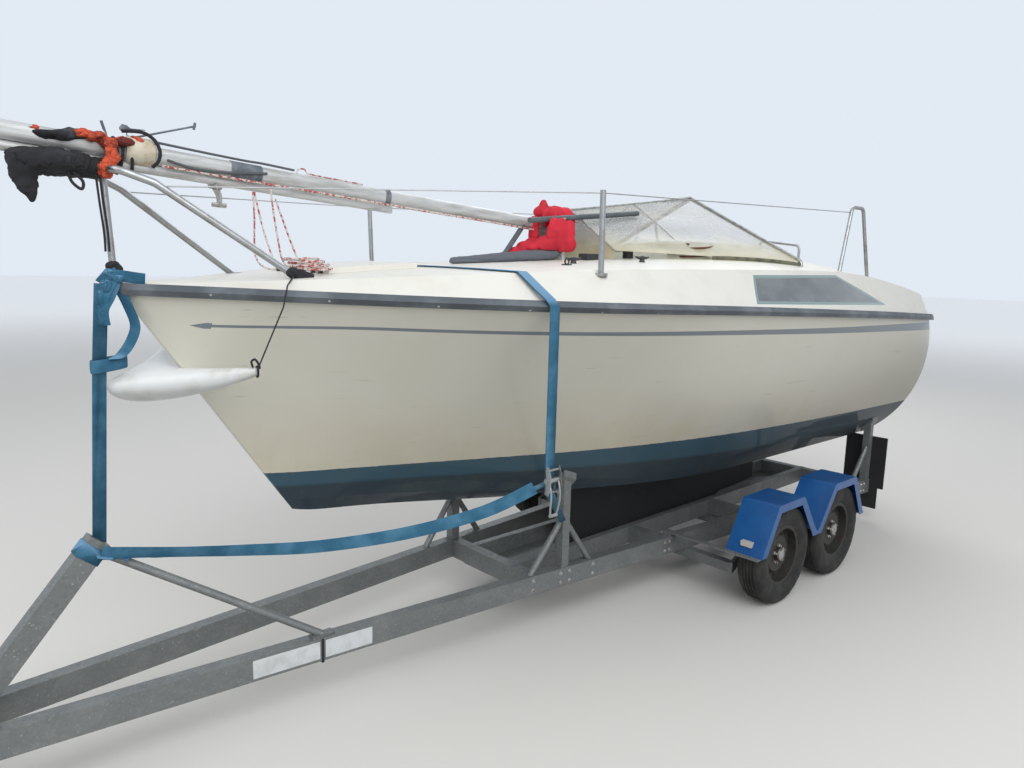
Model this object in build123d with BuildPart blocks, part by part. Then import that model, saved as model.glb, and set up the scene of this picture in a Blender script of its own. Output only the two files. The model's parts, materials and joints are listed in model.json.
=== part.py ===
from build123d import *
import math
import os

# Small cabin sailing boat with its mast lowered, standing on its own tandem road trailer.
# Millimetres, +X towards the bow, +Y to port, +Z up, ground at Z = 0.
# Lengths along the boat are stations, counted from the front axle, positive forward.

# Driving sizes of the mast and the boat's ends
mast_length = 6500
mast_pitch = math.radians(4.26)
mast_heel = 60
mast_wide = 50
mast_deep = 64
masthead_proud = 7
step_station = 960
step_pin_z = 2055
transom_station = -2170
rudder_reach = 430

# The origin lies under the middle of the whole length, on the ground
masthead_station = step_station + (mast_length - mast_heel) * math.cos(mast_pitch)
masthead_low = (mast_deep / 2 + masthead_proud) * math.sin(mast_pitch)
stern_end_station = transom_station - rudder_reach
front_axle_x = -(masthead_station + masthead_low + stern_end_station) / 2

# Pieces that rest on each other are this far apart, and pins run this far from their bores
touch = 0.3
pin_clearance = 0.1


def at(station):
    """Distance along X of a station."""
    return front_axle_x + station


os.makedirs("parts", exist_ok=True)


def keep(piece, label):
    """Label a finished piece and write it to its own file."""
    piece.part.label = label
    export_step(piece.part, f"parts/{label}.step")


def rod(start, end, radius, mode=Mode.ADD):
    """A round bar between two points, added to the piece being built or cut from it."""
    run = Vector(*end) - Vector(*start)
    with BuildSketch(Plane(origin=start, z_dir=run)) as disc:
        Circle(radius)
    extrude(disc.sketch, amount=run.length, mode=mode)


def bent_tube(points, radius, bend):
    """A round tube along straight runs joined by bends."""
    with BuildLine() as route:
        FilletPolyline(*points, radius=bend)
    with BuildSketch(Plane(origin=route.line @ 0, z_dir=route.line % 0)) as disc:
        Circle(radius)
    sweep(disc.sketch, path=route.line)


def block(low, high):
    """A plain box between two corners, added to the piece being built."""
    size = [b - a for a, b in zip(low, high)]
    middle = tuple((a + b) / 2 for a, b in zip(low, high))
    with Locations(middle):
        Box(*size)


def slab(low, high):
    """A plain box between two corners, as a piece to cut with."""
    with BuildPart() as piece:
        block(low, high)
    return piece.part


# Hull lines
sheer_stern_z = 1540
sheer_mid_z = 1672
sheer_mid_station = 900
sheer_bow_z = 1737
bow_station = 3090
water_z = 937
water_slope = 0.0166
shell = 18
stem_half = 14


def sheer_z(station):
    """Height of the deck edge, a shallow arc from stern to stem."""
    first = (sheer_mid_z - sheer_stern_z) / (sheer_mid_station - transom_station)
    second = (sheer_bow_z - sheer_mid_z) / (bow_station - sheer_mid_station)
    bend = (second - first) / (bow_station - transom_station)
    aft = station - transom_station
    return sheer_stern_z + first * aft + bend * aft * (station - sheer_mid_station)


# Columns: station of the deck edge, how far the keel line lies aft of it, keel height,
# bilge half-width and height, waterline half-width, deck edge half-width,
# deck shoulder half-width and height, height of the deck's crown
body_rows = [
    (transom_station, 0, 548, 500, 628, 761, 865, 795, 1690, 1716),
    (-1300, 0, 530, 515, 640, 757, 962, 845, 1806, 1838),
    (-760, 0, 525, 506, 642, 742, 1003, 860, 1846, 1958),
    (-200, 0, 520, 490, 645, 712, 1032, 872, 1856, 1968),
    (900, 0, 575, 345, 690, 553, 1030, 855, 1850, 1885),
    (1870, 60, 705, 140, 790, 272, 925, 765, 1824, 1834),
    (2620, 360, 765, 45, 830, 105, 455, 330, 1778, 1786),
    (bow_station, 640, 800, stem_half - 8, 860, stem_half - 2, stem_half, stem_half - 4, 1756, 1760),
]


def boat_body(inset):
    """The boat's whole outer volume, or one inside it by the inset."""
    last = len(body_rows) - 1
    with BuildPart() as body:
        for index, row in enumerate(body_rows):
            station, rake, keel_z, bilge_y, bilge_z, water_y, edge_y, side_y, side_z, crown_z = row
            if index == 0:
                station += inset
            if index == last:
                station -= 4 * max(inset, 0) - 0.4 * max(-inset, 0)
            edge_z = sheer_z(body_rows[index][0])
            tilt = math.atan2(rake, edge_z - keel_z)
            up = Vector(math.sin(tilt), 0, math.cos(tilt))
            base = Vector(at(station), 0, edge_z)
            drop = 1 / math.cos(tilt)
            narrow = 0 if index == last and inset > 0 else inset
            with BuildSketch(Plane(origin=base, x_dir=(0, 1, 0), z_dir=Vector(0, 1, 0).cross(up))):
                keel_point = (0, (keel_z + inset - edge_z) * drop)
                bilge_point = (bilge_y - narrow * 0.6, (bilge_z + inset * 0.8 - edge_z) * drop)
                water_point = (water_y - narrow, (water_z + water_slope * station - edge_z) * drop)
                edge_point = (edge_y - narrow, 0)
                side_point = (side_y - narrow * 0.7, (side_z - inset * 0.7 - edge_z) * drop)
                crown_point = (0, (crown_z - inset - edge_z) * drop)
                with BuildLine():
                    Line(keel_point, bilge_point)
                    ThreePointArc(bilge_point, water_point, edge_point)
                    Line(edge_point, side_point)
                    ThreePointArc(side_point, crown_point, (-side_point[0], side_point[1]))
                    Line((-side_point[0], side_point[1]), (-edge_point[0], 0))
                    ThreePointArc(
                        (-edge_point[0], 0), (-water_point[0], water_point[1]), (-bilge_point[0], bilge_point[1])
                    )
                    Line((-bilge_point[0], bilge_point[1]), keel_point)
                make_face()
        loft()
    return body.part


def sheer_band(above, below):
    """A slab across the boat that follows the deck edge, between two heights from it."""
    stations = (transom_station - 200, sheer_mid_station, bow_station + 200)
    with BuildPart() as band:
        with BuildSketch(Plane.XZ):
            with BuildLine():
                low = ThreePointArc(*[(at(s), sheer_z(s) + below) for s in stations])
                high = ThreePointArc(*[(at(s), sheer_z(s) + above) for s in stations])
                Line(low @ 0, high @ 0)
                Line(low @ 1, high @ 1)
            make_face()
        extrude(amount=1500, both=True)
    return band.part


rail_proud = 24
outer_body = boat_body(0)
inner_body = boat_body(shell)
seat_body = boat_body(-touch)
rail_body = boat_body(-rail_proud)
below_sheer = sheer_band(0, -1500)
above_sheer = sheer_band(600, 0)

# Hull shell: moulded topsides and bottom, with a closed transom
with BuildPart() as hull_shell:
    add(outer_body)
    add(inner_body, mode=Mode.SUBTRACT)
    add(below_sheer, mode=Mode.INTERSECT)
keep(hull_shell, "hull_shell")

# Cockpit well: seats at one height, a footwell between them
bulkhead_station = -700
well_end_station = -2040
coaming_inner_y = 690
seat_z = 1400
footwell_half = 230
footwell_z = 1130
footwell_start = bulkhead_station - 40
footwell_end = well_end_station + 120
well_top_z = 2100
tub_wall = 14


def well_space(grow):
    """The open space of the cockpit, or a larger one round it by the wall."""
    with BuildPart() as well:
        block(
            (at(well_end_station) - grow, -coaming_inner_y - grow, seat_z - grow),
            (at(bulkhead_station) + grow, coaming_inner_y + grow, well_top_z),
        )
        block(
            (at(footwell_end) - grow, -footwell_half - grow, footwell_z - grow),
            (at(footwell_start) + grow, footwell_half + grow, seat_z),
        )
    return well.part


# Companionway: a slot in the roof and in the bulkhead, closed by a sliding hatch and a board
entry_half = 270
entry_front_station = -230
entry_sill_z = 1500
with BuildPart() as entry_slot:
    block(
        (at(bulkhead_station) - 60, -entry_half, entry_sill_z),
        (at(bulkhead_station) + 200, entry_half, well_top_z),
    )
    block(
        (at(bulkhead_station), -entry_half, 1800),
        (at(entry_front_station), entry_half, well_top_z),
    )

# Fore hatch opening in the foredeck
hatch_station = 2180
hatch_long = 420
hatch_wide = 460
hatch_lip = 24
with BuildPart() as fore_slot:
    block(
        (at(hatch_station) - hatch_long / 2 + hatch_lip, -hatch_wide / 2 + hatch_lip, 1700),
        (at(hatch_station) + hatch_long / 2 - hatch_lip, hatch_wide / 2 - hatch_lip, 1900),
    )

# Side windows: one long tinted pane each side, square in front and raked aft
window_corners = [(515, 1691), (368, 1828), (-558, 1833), (-1190, 1650)]
pane = 6
pane_gap = 0.2


def window_prism(grow):
    """The window's outline in side view, carried across the boat."""
    with BuildPart() as prism:
        with BuildSketch(Plane.XZ):
            with BuildLine():
                Polyline(*[(at(s), z) for s, z in window_corners], close=True)
            make_face()
            if grow:
                offset(amount=grow)
        extrude(amount=1400, both=True)
    return prism.part


# Deck moulding: foredeck, cabin top and coamings in one skin
with BuildPart() as deck_moulding:
    add(outer_body)
    add(inner_body, mode=Mode.SUBTRACT)
    add(above_sheer, mode=Mode.INTERSECT)
    add(well_space(0), mode=Mode.SUBTRACT)
    add(entry_slot.part, mode=Mode.SUBTRACT)
    add(fore_slot.part, mode=Mode.SUBTRACT)
    add(window_prism(0), mode=Mode.SUBTRACT)
keep(deck_moulding, "deck_moulding")

# Cockpit tub: seats, footwell, bulkhead and coaming sides, hung inside the deck
with BuildPart() as cockpit_tub:
    add(well_space(tub_wall))
    add(inner_body, mode=Mode.INTERSECT)
    add(well_space(0), mode=Mode.SUBTRACT)
    add(entry_slot.part, mode=Mode.SUBTRACT)
keep(cockpit_tub, "cockpit_tub")

# Panes, flush with the cabin sides
with BuildPart() as side_windows:
    add(outer_body)
    add(boat_body(pane), mode=Mode.SUBTRACT)
    add(window_prism(-pane_gap), mode=Mode.INTERSECT)
keep(side_windows, "side_windows")

# Rub rail along the deck edge
rail_half = 21
with BuildPart() as rub_rail:
    add(rail_body)
    add(outer_body, mode=Mode.SUBTRACT)
    add(sheer_band(rail_half, -rail_half), mode=Mode.INTERSECT)
keep(rub_rail, "rub_rail")

# Trailer frame sizes: two box rails that meet towards the coupling
rail_high = 100
rail_wide = 60
rail_wall = 4
rail_top_z = 310
coupling_station = 4770
rail_spread = 0.0959
frame_end_station = -1950
rail_front_station = coupling_station - 330
axle_gap = 650


def rail_y(station):
    """Half-distance between the two rails at a station."""
    return rail_spread * (coupling_station - station)


def box_rails(wall):
    """Both rails as box tubes, or solid where no wall is given."""
    with BuildPart() as rails:
        for side in (1, -1):
            start = Vector(at(frame_end_station), side * rail_y(frame_end_station), rail_top_z - rail_high / 2)
            end = Vector(at(rail_front_station), side * rail_y(rail_front_station), start.Z)
            with BuildSketch(Plane(origin=start, x_dir=(0, 0, 1), z_dir=end - start)) as section:
                Rectangle(rail_high, rail_wide)
                if wall:
                    Rectangle(rail_high - 2 * wall, rail_wide - 2 * wall, mode=Mode.SUBTRACT)
            extrude(section.sketch, amount=(end - start).length)
    return rails.part


with BuildPart() as frame_rails:
    add(box_rails(rail_wall))
keep(frame_rails, "frame_rails")
rail_space = box_rails(0)


def rod_ends(points):
    """Consecutive pairs of a row of points."""
    return list(zip(points[:-1], points[1:]))


# Stub keel, long and shallow, its foot low in the trailer's tray and raised towards the stern
keel_foot_z = 225
keel_top_z = 700
keel_front_top = 930
keel_front_foot = 720
keel_back = -1360
keel_half_top = 85
keel_half_foot = 70
keel_rise = [(-680, keel_foot_z), (-840, 275), (keel_back - 10, 270)]
with BuildPart() as stub_keel:
    for height, front, half in (
        (keel_foot_z, keel_front_foot, keel_half_foot),
        (keel_top_z, keel_front_top, keel_half_top),
    ):
        with BuildSketch(Plane.XY.offset(height)):
            with BuildLine():
                widest = front - (front - keel_back) * 0.35
                ThreePointArc(
                    (at(keel_back), 0), (at((widest + keel_back) / 2), half * 0.8), (at(widest), half)
                )
                ThreePointArc(
                    (at(widest), half), (at(widest + (front - widest) * 0.75), half * 0.62), (at(front), 0)
                )
                mirror(about=Plane.XZ)
            make_face()
    loft()
    with BuildSketch(Plane.XZ) as rise:
        Polygon(
            *[(at(s), z) for s, z in keel_rise],
            (at(keel_rise[-1][0]), 200),
            (at(keel_rise[0][0]), 200),
            align=None,
        )
    extrude(rise.sketch, amount=keel_half_top, both=True, mode=Mode.SUBTRACT)
    add(outer_body, mode=Mode.SUBTRACT)
keep(stub_keel, "stub_keel")

# Places along the mast, and the boom stowed under it
mast_dir = Vector(math.cos(mast_pitch), 0, math.sin(mast_pitch))
step_pin = Vector(at(step_station), 0, step_pin_z)
boom_r = 17
boom_drop = mast_deep / 2 + boom_r + touch


def on_mast(along, below=0):
    """A point at a distance along the mast from its hinge, and below its middle."""
    down = Vector(mast_dir.Z, 0, -mast_dir.X)
    return step_pin + mast_dir * along + down * below


def mast_plane(along, below=0):
    """The plane across the mast at a distance along it."""
    return Plane(origin=on_mast(along, below), x_dir=(0, 1, 0), z_dir=mast_dir)


# Pulpit: one bent stainless tube round the stem head, its front bar under the stowed boom,
# with an upright from the bar to a flange on the stem head
tube_r = 13
pulpit_front = 3118
bar_drop = boom_drop + boom_r + touch + tube_r
bar_along = (pulpit_front - step_station - bar_drop * mast_dir.Z) / mast_dir.X
bar_z = on_mast(bar_along, bar_drop).Z
bar_half = 140
pulpit_shoulder = (3010, 190, 2095)
pulpit_foot = (2540, 300, 1776)
upright_top = (at(pulpit_front), 0, bar_z)
upright_foot = (at(3098), 0, 1763)
upright_r = 12
stem_flange_r = 22
stem_flange_z = 1770
with BuildPart() as pulpit:
    side_points = [(pulpit_foot, 1), (pulpit_shoulder, 1), ((pulpit_front, bar_half, bar_z), 1)]
    side_points += [(place, -1) for place, _ in reversed(side_points)]
    bent_tube([(at(x), side * y, z) for (x, y, z), side in side_points], tube_r, 55)
    rod(upright_top, upright_foot, upright_r)
    with Locations((upright_foot[0], 0, stem_flange_z)):
        Cylinder(stem_flange_r, 9, align=(Align.CENTER, Align.CENTER, Align.MAX))
    for side in (1, -1):
        with Locations((at(pulpit_foot[0]), side * pulpit_foot[1], 1785)):
            Cylinder(28, 12)
    add(seat_body, mode=Mode.SUBTRACT)
keep(pulpit, "pulpit")

# Stanchions: one each side amidships, an inverted V each side of the cockpit,
# and a low rail on the aft deck to starboard
stanchion_foot = (1505, 858, 1815)
stanchion_head = (1517, 862, 2157)
stanchion_r = 12
vee_foot = (-750, 812, 1835)
vee_head = (-868, 806, 2245)
vee_r = 11
with BuildPart() as stanchions:
    for side in (1, -1):
        low, high = [(at(x), side * y, z) for x, y, z in (stanchion_foot, stanchion_head)]
        rod(low, high, stanchion_r)
        with Locations((low[0], low[1], 1822)):
            Cylinder(27, 13)
        vee_points = [vee_foot, vee_head, (-1022, 806, 2245), (-1170, 810, 1800)]
        bent_tube([(at(x), side * y, z) for x, y, z in vee_points], vee_r, 40)
    stern_points = [(-505, 1680), (-505, 2090), (-150, 2050), (-150, 1690)]
    bent_tube([(at(-2105), y, z) for y, z in stern_points], 10, 40)
    add(seat_body, mode=Mode.SUBTRACT)
keep(stanchions, "stanchions")

# Lifelines: one wire each side from the pulpit over the stanchion to the cockpit
wire_r = 2.5
wire_ends = [(2996, 193, 2085), (1517, 862, 2145), (-858, 806.5, 2212)]
with BuildPart() as lifelines:
    for side in (1, -1):
        for start, end in rod_ends([(at(x), side * y, z) for x, y, z in wire_ends]):
            rod(start, end, wire_r)
    for side in (1, -1):
        for ends, radius in (
            ((pulpit_foot, pulpit_shoulder), tube_r),
            ((stanchion_foot, stanchion_head), stanchion_r),
            ((vee_foot, vee_head), vee_r),
        ):
            low, high = [(at(x), side * y, z) for x, y, z in ends]
            rod(low, high, radius + touch, mode=Mode.SUBTRACT)
keep(lifelines, "lifelines")

# Mast step: two cheeks on a base plate with the hinge pin between them,
# and a forked post beside it for the loose pole
roof_at_step = 1884
cheek = 6
cheek_gap = 6
pin_r = 6
pole_r = 14
pole_start = (at(1190), 100, 2072)
pole_end = (at(352), 118, 2154)
with BuildPart() as mast_step:
    outer_y = mast_wide / 2 + cheek_gap + cheek
    block(
        (at(step_station) - 90, -outer_y - 20, roof_at_step - 25),
        (at(step_station) + 90, outer_y + 20, roof_at_step + 8),
    )
    for side in (1, -1):
        low, high = sorted((side * outer_y, side * (outer_y - cheek)))
        block(
            (at(step_station) - 38, low, roof_at_step),
            (at(step_station) + 38, high, step_pin_z + 22),
        )
    with Locations(Location((at(step_station), 0, step_pin_z), (90, 0, 0))):
        Cylinder(pin_r, 2 * outer_y + 12)
    block((at(step_station) - 10, 88, roof_at_step - 40), (at(step_station) + 10, 122, 2096))
    rod(pole_start, pole_end, pole_r + touch, mode=Mode.SUBTRACT)
    add(seat_body, mode=Mode.SUBTRACT)
keep(mast_step, "mast_step")

# Mast: an oval alloy tube with a solid heel and head, hinged at its heel and lowered forward
spar_wall = 3
heel_plug = 110
head_block = 150
with BuildPart() as mast:
    with BuildSketch(mast_plane(-mast_heel)) as spar_section:
        SlotCenterToCenter(mast_deep - mast_wide, mast_wide, rotation=90)
        SlotCenterToCenter(mast_deep - mast_wide, mast_wide - 2 * spar_wall, rotation=90, mode=Mode.SUBTRACT)
    extrude(spar_section.sketch, amount=mast_length)
    with BuildSketch(mast_plane(-mast_heel)) as plug_section:
        SlotCenterToCenter(mast_deep - mast_wide, mast_wide, rotation=90)
    extrude(plug_section.sketch, amount=heel_plug)
    with BuildSketch(mast_plane(mast_length - mast_heel - head_block)) as head_section:
        Rectangle(mast_wide + 2 * masthead_proud, mast_deep + 2 * masthead_proud)
    extrude(head_section.sketch, amount=head_block)
    with Locations(Location(tuple(step_pin), (90, 0, 0))):
        Cylinder(pin_r + pin_clearance, 200, mode=Mode.SUBTRACT)
keep(mast, "mast")

# Boom, stowed along the underside of the mast
boom_start = 1015
boom_length = 2350
with BuildPart() as boom:
    with BuildSketch(mast_plane(boom_start, boom_drop)) as boom_section:
        Circle(boom_r)
        Circle(boom_r - spar_wall, mode=Mode.SUBTRACT)
    extrude(boom_section.sketch, amount=boom_length)
    with BuildSketch(mast_plane(boom_start - 30, boom_drop)) as fork_section:
        Rectangle(16, 34)
    extrude(fork_section.sketch, amount=60)
keep(boom, "boom")

# Cloth lashed round mast and boom either side of the pulpit's bar, and a rag round the mast's heel.
# Columns: start and end along the mast, half-width and half-depth, drop of its middle
cloth_rows = [(2020, 2130, 62, 74, 13), (2195, 2440, 80, 92, 13)]
rag_row = (60, 250, 48, 60, 0)


def cloth_wrap(row):
    """An oval roll round the mast and boom, added to the piece being built."""
    start, end, half_wide, half_deep, drop = row
    with BuildSketch(mast_plane(start, drop)) as roll:
        Ellipse(half_wide, half_deep)
        with Locations((0, drop)):
            SlotCenterToCenter(
                mast_deep - mast_wide, mast_wide + 2 * touch, rotation=90, mode=Mode.SUBTRACT
            )
    extrude(roll.sketch, amount=end - start)
    if start > boom_start:
        with BuildSketch(mast_plane(start, boom_drop)) as groove:
            Circle(boom_r + touch)
        extrude(groove.sketch, amount=end - start, mode=Mode.SUBTRACT)


with BuildPart() as sail_bundle:
    for row in cloth_rows:
        cloth_wrap(row)
keep(sail_bundle, "sail_bundle")

with BuildPart() as heel_rag:
    cloth_wrap(rag_row)
keep(heel_rag, "heel_rag")

# Clear spray hood: a tent from a ridge, open aft, on one hoop
hood_aft_station = -320
hood_front_station = 790
hood_aft = (2294, 780, 1906)
hood_front = (2150, 330, 1935)
hood_skin = 3


def hood_tent(inset):
    """The hood's outer volume, or the space inside its skin."""
    with BuildPart() as tent:
        for station, (ridge, half, foot) in (
            (hood_aft_station - (5 if inset > 0 else 0), hood_aft),
            (hood_front_station - inset, hood_front),
        ):
            with BuildSketch(Plane(origin=(at(station), 0, 0), x_dir=(0, 1, 0), z_dir=(1, 0, 0))):
                Polygon(
                    (0, ridge - inset * 1.2),
                    (-half + inset * 1.6, foot),
                    (-half + inset * 1.6, 1780),
                    (half - inset * 1.6, 1780),
                    (half - inset * 1.6, foot),
                    align=None,
                )
        loft()
    return tent.part


with BuildPart() as spray_hood:
    add(hood_tent(0))
    add(hood_tent(hood_skin), mode=Mode.SUBTRACT)
    add(seat_body, mode=Mode.SUBTRACT)
keep(spray_hood, "spray_hood")

# The hood's hoop, at its open aft edge
hoop_r = 11
with BuildPart() as hood_hoop:
    hoop_x = at(hood_aft_station - hoop_r - touch)
    ridge, half, foot = hood_aft
    hoop_points = [(half + 6, 1840), (half - 4, foot), (0, ridge - 6), (4 - half, foot), (-half - 6, 1840)]
    bent_tube([(hoop_x, y, z) for y, z in hoop_points], hoop_r, 30)
    add(seat_body, mode=Mode.SUBTRACT)
keep(hood_hoop, "hood_hoop")

# Sliding hatch over the companionway, on two runners fixed to the roof
runner_y = 272
runner_wide = 30
runner_top = 1985
hatch_rise = 14
hatch_thick = 18
slide_travel = 430
hatch_back = bulkhead_station - 24
hatch_front = entry_front_station + 40
with BuildPart() as sliding_hatch:
    with BuildSketch(Plane(origin=(at(hatch_back), 0, 0), x_dir=(0, 1, 0), z_dir=(1, 0, 0))) as lid_section:
        edge_y = runner_y + runner_wide
        low = runner_top + touch
        with BuildLine():
            Line((-edge_y, low), (-runner_y, low))
            ThreePointArc((-runner_y, low), (0, low + hatch_rise), (runner_y, low))
            Line((runner_y, low), (edge_y, low))
            Line((edge_y, low), (edge_y, low + hatch_thick))
            ThreePointArc(
                (edge_y, low + hatch_thick), (0, low + hatch_thick + hatch_rise), (-edge_y, low + hatch_thick)
            )
            Line((-edge_y, low + hatch_thick), (-edge_y, low))
        make_face()
    extrude(lid_section.sketch, amount=hatch_front - hatch_back)
keep(sliding_hatch, "sliding_hatch")

with BuildPart() as hatch_runners:
    for side in (1, -1):
        low, high = sorted((side * runner_y, side * (runner_y + runner_wide)))
        block((at(bulkhead_station), low, 1900), (at(hatch_front + slide_travel + 20), high, runner_top))
    add(seat_body, mode=Mode.SUBTRACT)
keep(hatch_runners, "hatch_runners")

# Washboard in the companionway
with BuildPart() as washboard:
    block(
        (at(bulkhead_station) - 12, -entry_half - 16, entry_sill_z - 16),
        (at(bulkhead_station) - touch, entry_half + 16, runner_top - 12),
    )
keep(washboard, "washboard")

# Fore hatch: a low crowned lid, hinged on its front edge between two pairs of lugs
lid_thick = 24
hinge_station = hatch_station + hatch_long / 2 + 8
hinge_z = 1822
hinge_pin = 2.5
barrel_r = 5
barrel_y = (127, 173)
lug_wide = 12
lug_ys = (barrel_y[0] - lug_wide - 2, barrel_y[1] + 2)
with BuildPart() as fore_hatch:
    add(rail_body)
    add(seat_body, mode=Mode.SUBTRACT)
    lid_plan = slab(
        (at(hatch_station) - hatch_long / 2, -hatch_wide / 2, 1780),
        (at(hatch_station) + hatch_long / 2, hatch_wide / 2, 1900),
    )
    add(lid_plan, mode=Mode.INTERSECT)
    for side in (1, -1):
        for lug_y in lug_ys:
            low, high = sorted((side * (lug_y - 3), side * (lug_y + lug_wide + 3)))
            notch = slab((at(hinge_station) - 24, low, 1780), (at(hinge_station), high, 1900))
            add(notch, mode=Mode.SUBTRACT)
    for side in (1, -1):
        start, end = [(at(hinge_station), side * y, hinge_z) for y in barrel_y]
        rod(start, end, barrel_r)
        low, high = sorted((side * barrel_y[0], side * barrel_y[1]))
        block((at(hinge_station) - 16, low, hinge_z - 4), (at(hinge_station), high, hinge_z + 5))
    for side in (1, -1):
        start, end = [(at(hinge_station), side * y, hinge_z) for y in barrel_y]
        rod(start, end, hinge_pin + pin_clearance, mode=Mode.SUBTRACT)
keep(fore_hatch, "fore_hatch")

# Thin rolled cover lying along the cabin top, and a loose pole from the step's post to the hood
with BuildPart() as rolled_cover:
    rod((at(1640), 40, 1861), (at(985), 97, 1898), 18)
    add(seat_body, mode=Mode.SUBTRACT)
keep(rolled_cover, "rolled_cover")

with BuildPart() as deck_pole:
    rod(pole_start, pole_end, pole_r)
    add(hood_tent(-touch), mode=Mode.SUBTRACT)
keep(deck_pole, "deck_pole")

# Deck gear: two winches and two line clutches on the cabin top, and the fore hatch's hinge lugs
with BuildPart() as deck_gear:
    for side in (1, -1):
        with Locations((at(610), side * 270, 1920)):
            Cylinder(28, 80)
        with Locations((at(880), side * 230, 1890)):
            Box(90, 60, 50)
        for lug_y in lug_ys:
            low, high = sorted((side * lug_y, side * (lug_y + lug_wide)))
            block((at(hinge_station) - 6.5, low, 1780), (at(hinge_station) + 8, high, hinge_z + 6))
        start, end = [(at(hinge_station), side * y, hinge_z) for y in (barrel_y[0] - 10, barrel_y[1] + 10)]
        rod(start, end, hinge_pin)
    add(seat_body, mode=Mode.SUBTRACT)
keep(deck_gear, "deck_gear")

# Bow fender: a hollow-moulded V with its thick nose on the stem.
# Columns: place of the section's middle, its half-width and half-height
fender_rows = [((2985, 0, 1388), 157, 63), ((2900, 200, 1418), 60, 46), ((2787, 450, 1474), 13, 13)]
with BuildPart() as bow_fender:
    for index, ((x, y, z), half_wide, half_high) in enumerate(fender_rows):
        heading = Vector(-0.2 * index, 1, 0.06 * index)
        across = Vector(1, 0.2 * index, 0)
        with BuildSketch(Plane(origin=(at(x), y, z), x_dir=across, z_dir=heading)):
            Ellipse(half_wide, half_high)
    loft()
    mirror(about=Plane.XZ)
    add(seat_body, mode=Mode.SUBTRACT)
keep(bow_fender, "bow_fender")

# Hull supports: an upright with its braces on each rail, and a pad under the hull.
# Columns: side, station of the upright, feet of its braces
support_rows = [
    (1, 1130, (1340, 936)),
    (-1, 1310, (1520, 1110)),
    (1, -1870, (-1690,)),
    (-1, -1870, (-1690,)),
]
upright_half = 25
brace_r_support = 16
brace_top_z = 575
with BuildPart() as support_pads:
    for side, station, feet in support_rows:
        y = side * rail_y(station)
        block((at(station) - 45, y - 40, 560), (at(station) + 45, y + 40, 950))
    add(rail_body, mode=Mode.INTERSECT)
with BuildPart() as hull_supports:
    for side, station, feet in support_rows:
        y = side * rail_y(station)
        block(
            (at(station) - upright_half, y - upright_half, rail_top_z),
            (at(station) + upright_half, y + upright_half, 950),
        )
        for foot in feet:
            rod((at(foot), side * rail_y(foot), rail_top_z - 10), (at(station), y, brace_top_z), brace_r_support)
    add(support_pads.part)
    add(rail_space, mode=Mode.SUBTRACT)
    add(seat_body, mode=Mode.SUBTRACT)
keep(hull_supports, "hull_supports")

# Ratchet on the hull strap
strap_wide = 50
strap_thick = 3
strap_station = 1870
strap_y = 957.5
ratchet_z = (990, 1105)
ratchet_low = (at(strap_station) - 32, strap_y + strap_thick + touch, ratchet_z[0])
ratchet_high = (at(strap_station) + 32, strap_y + strap_thick + 24, ratchet_z[1])
with BuildPart() as ratchet:
    block(ratchet_low, ratchet_high)
keep(ratchet, "ratchet")

# Bow post, leaning aft from its plate on the rails
post_head = Vector(at(3200), 0, 840)
post_foot = Vector(at(3640), 0, rail_top_z)
post_long = (post_head - post_foot).length
post_section = (60, 80)
brace_station = 2440
brace_r = 16
brace_head = (post_head.X, 0, post_head.Z - 45)
brace_foot = (at(brace_station), rail_y(brace_station), rail_top_z + 4)


def post_box(grow, start, end):
    """A box round the bow post's line, between two distances from its foot."""
    axis = (post_head - post_foot).normalized()
    with BuildPart() as box:
        with BuildSketch(Plane(origin=post_foot + axis * start, x_dir=(0, 1, 0), z_dir=axis)) as square:
            Rectangle(post_section[0] + 2 * grow, post_section[1] + 2 * grow)
        extrude(square.sketch, amount=end - start)
    return box.part


# Blue webbing: the hull strap over the deck with its two lower runs to the trailer, the bow webbing
# down to the post with a wrap round it, and the slack strap between post and ratchet
strap_row = body_rows[[row[0] for row in body_rows].index(strap_station)]
strap_over = [
    (strap_y, 1000),
    (strap_y, sheer_z(strap_station) + 2),
    (strap_row[6] + 6, sheer_z(strap_station) + rail_half + 4),
    (strap_row[7] + 8, strap_row[8] + 3),
]
strap_crown = strap_row[9] + 3
stem_run = [(3198, 830), (3163, 1472), (3142, 1755), (3104, 1800)]
stem_band_dir = (0.73, -0.68, 0)
stem_wrap = (1775, 1820)


def upright_at(height):
    """The middle of the pulpit's upright at a height."""
    foot, top = Vector(*upright_foot), Vector(*upright_top)
    return foot + (top - foot) * ((height - foot.Z) / (top.Z - foot.Z))


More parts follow.
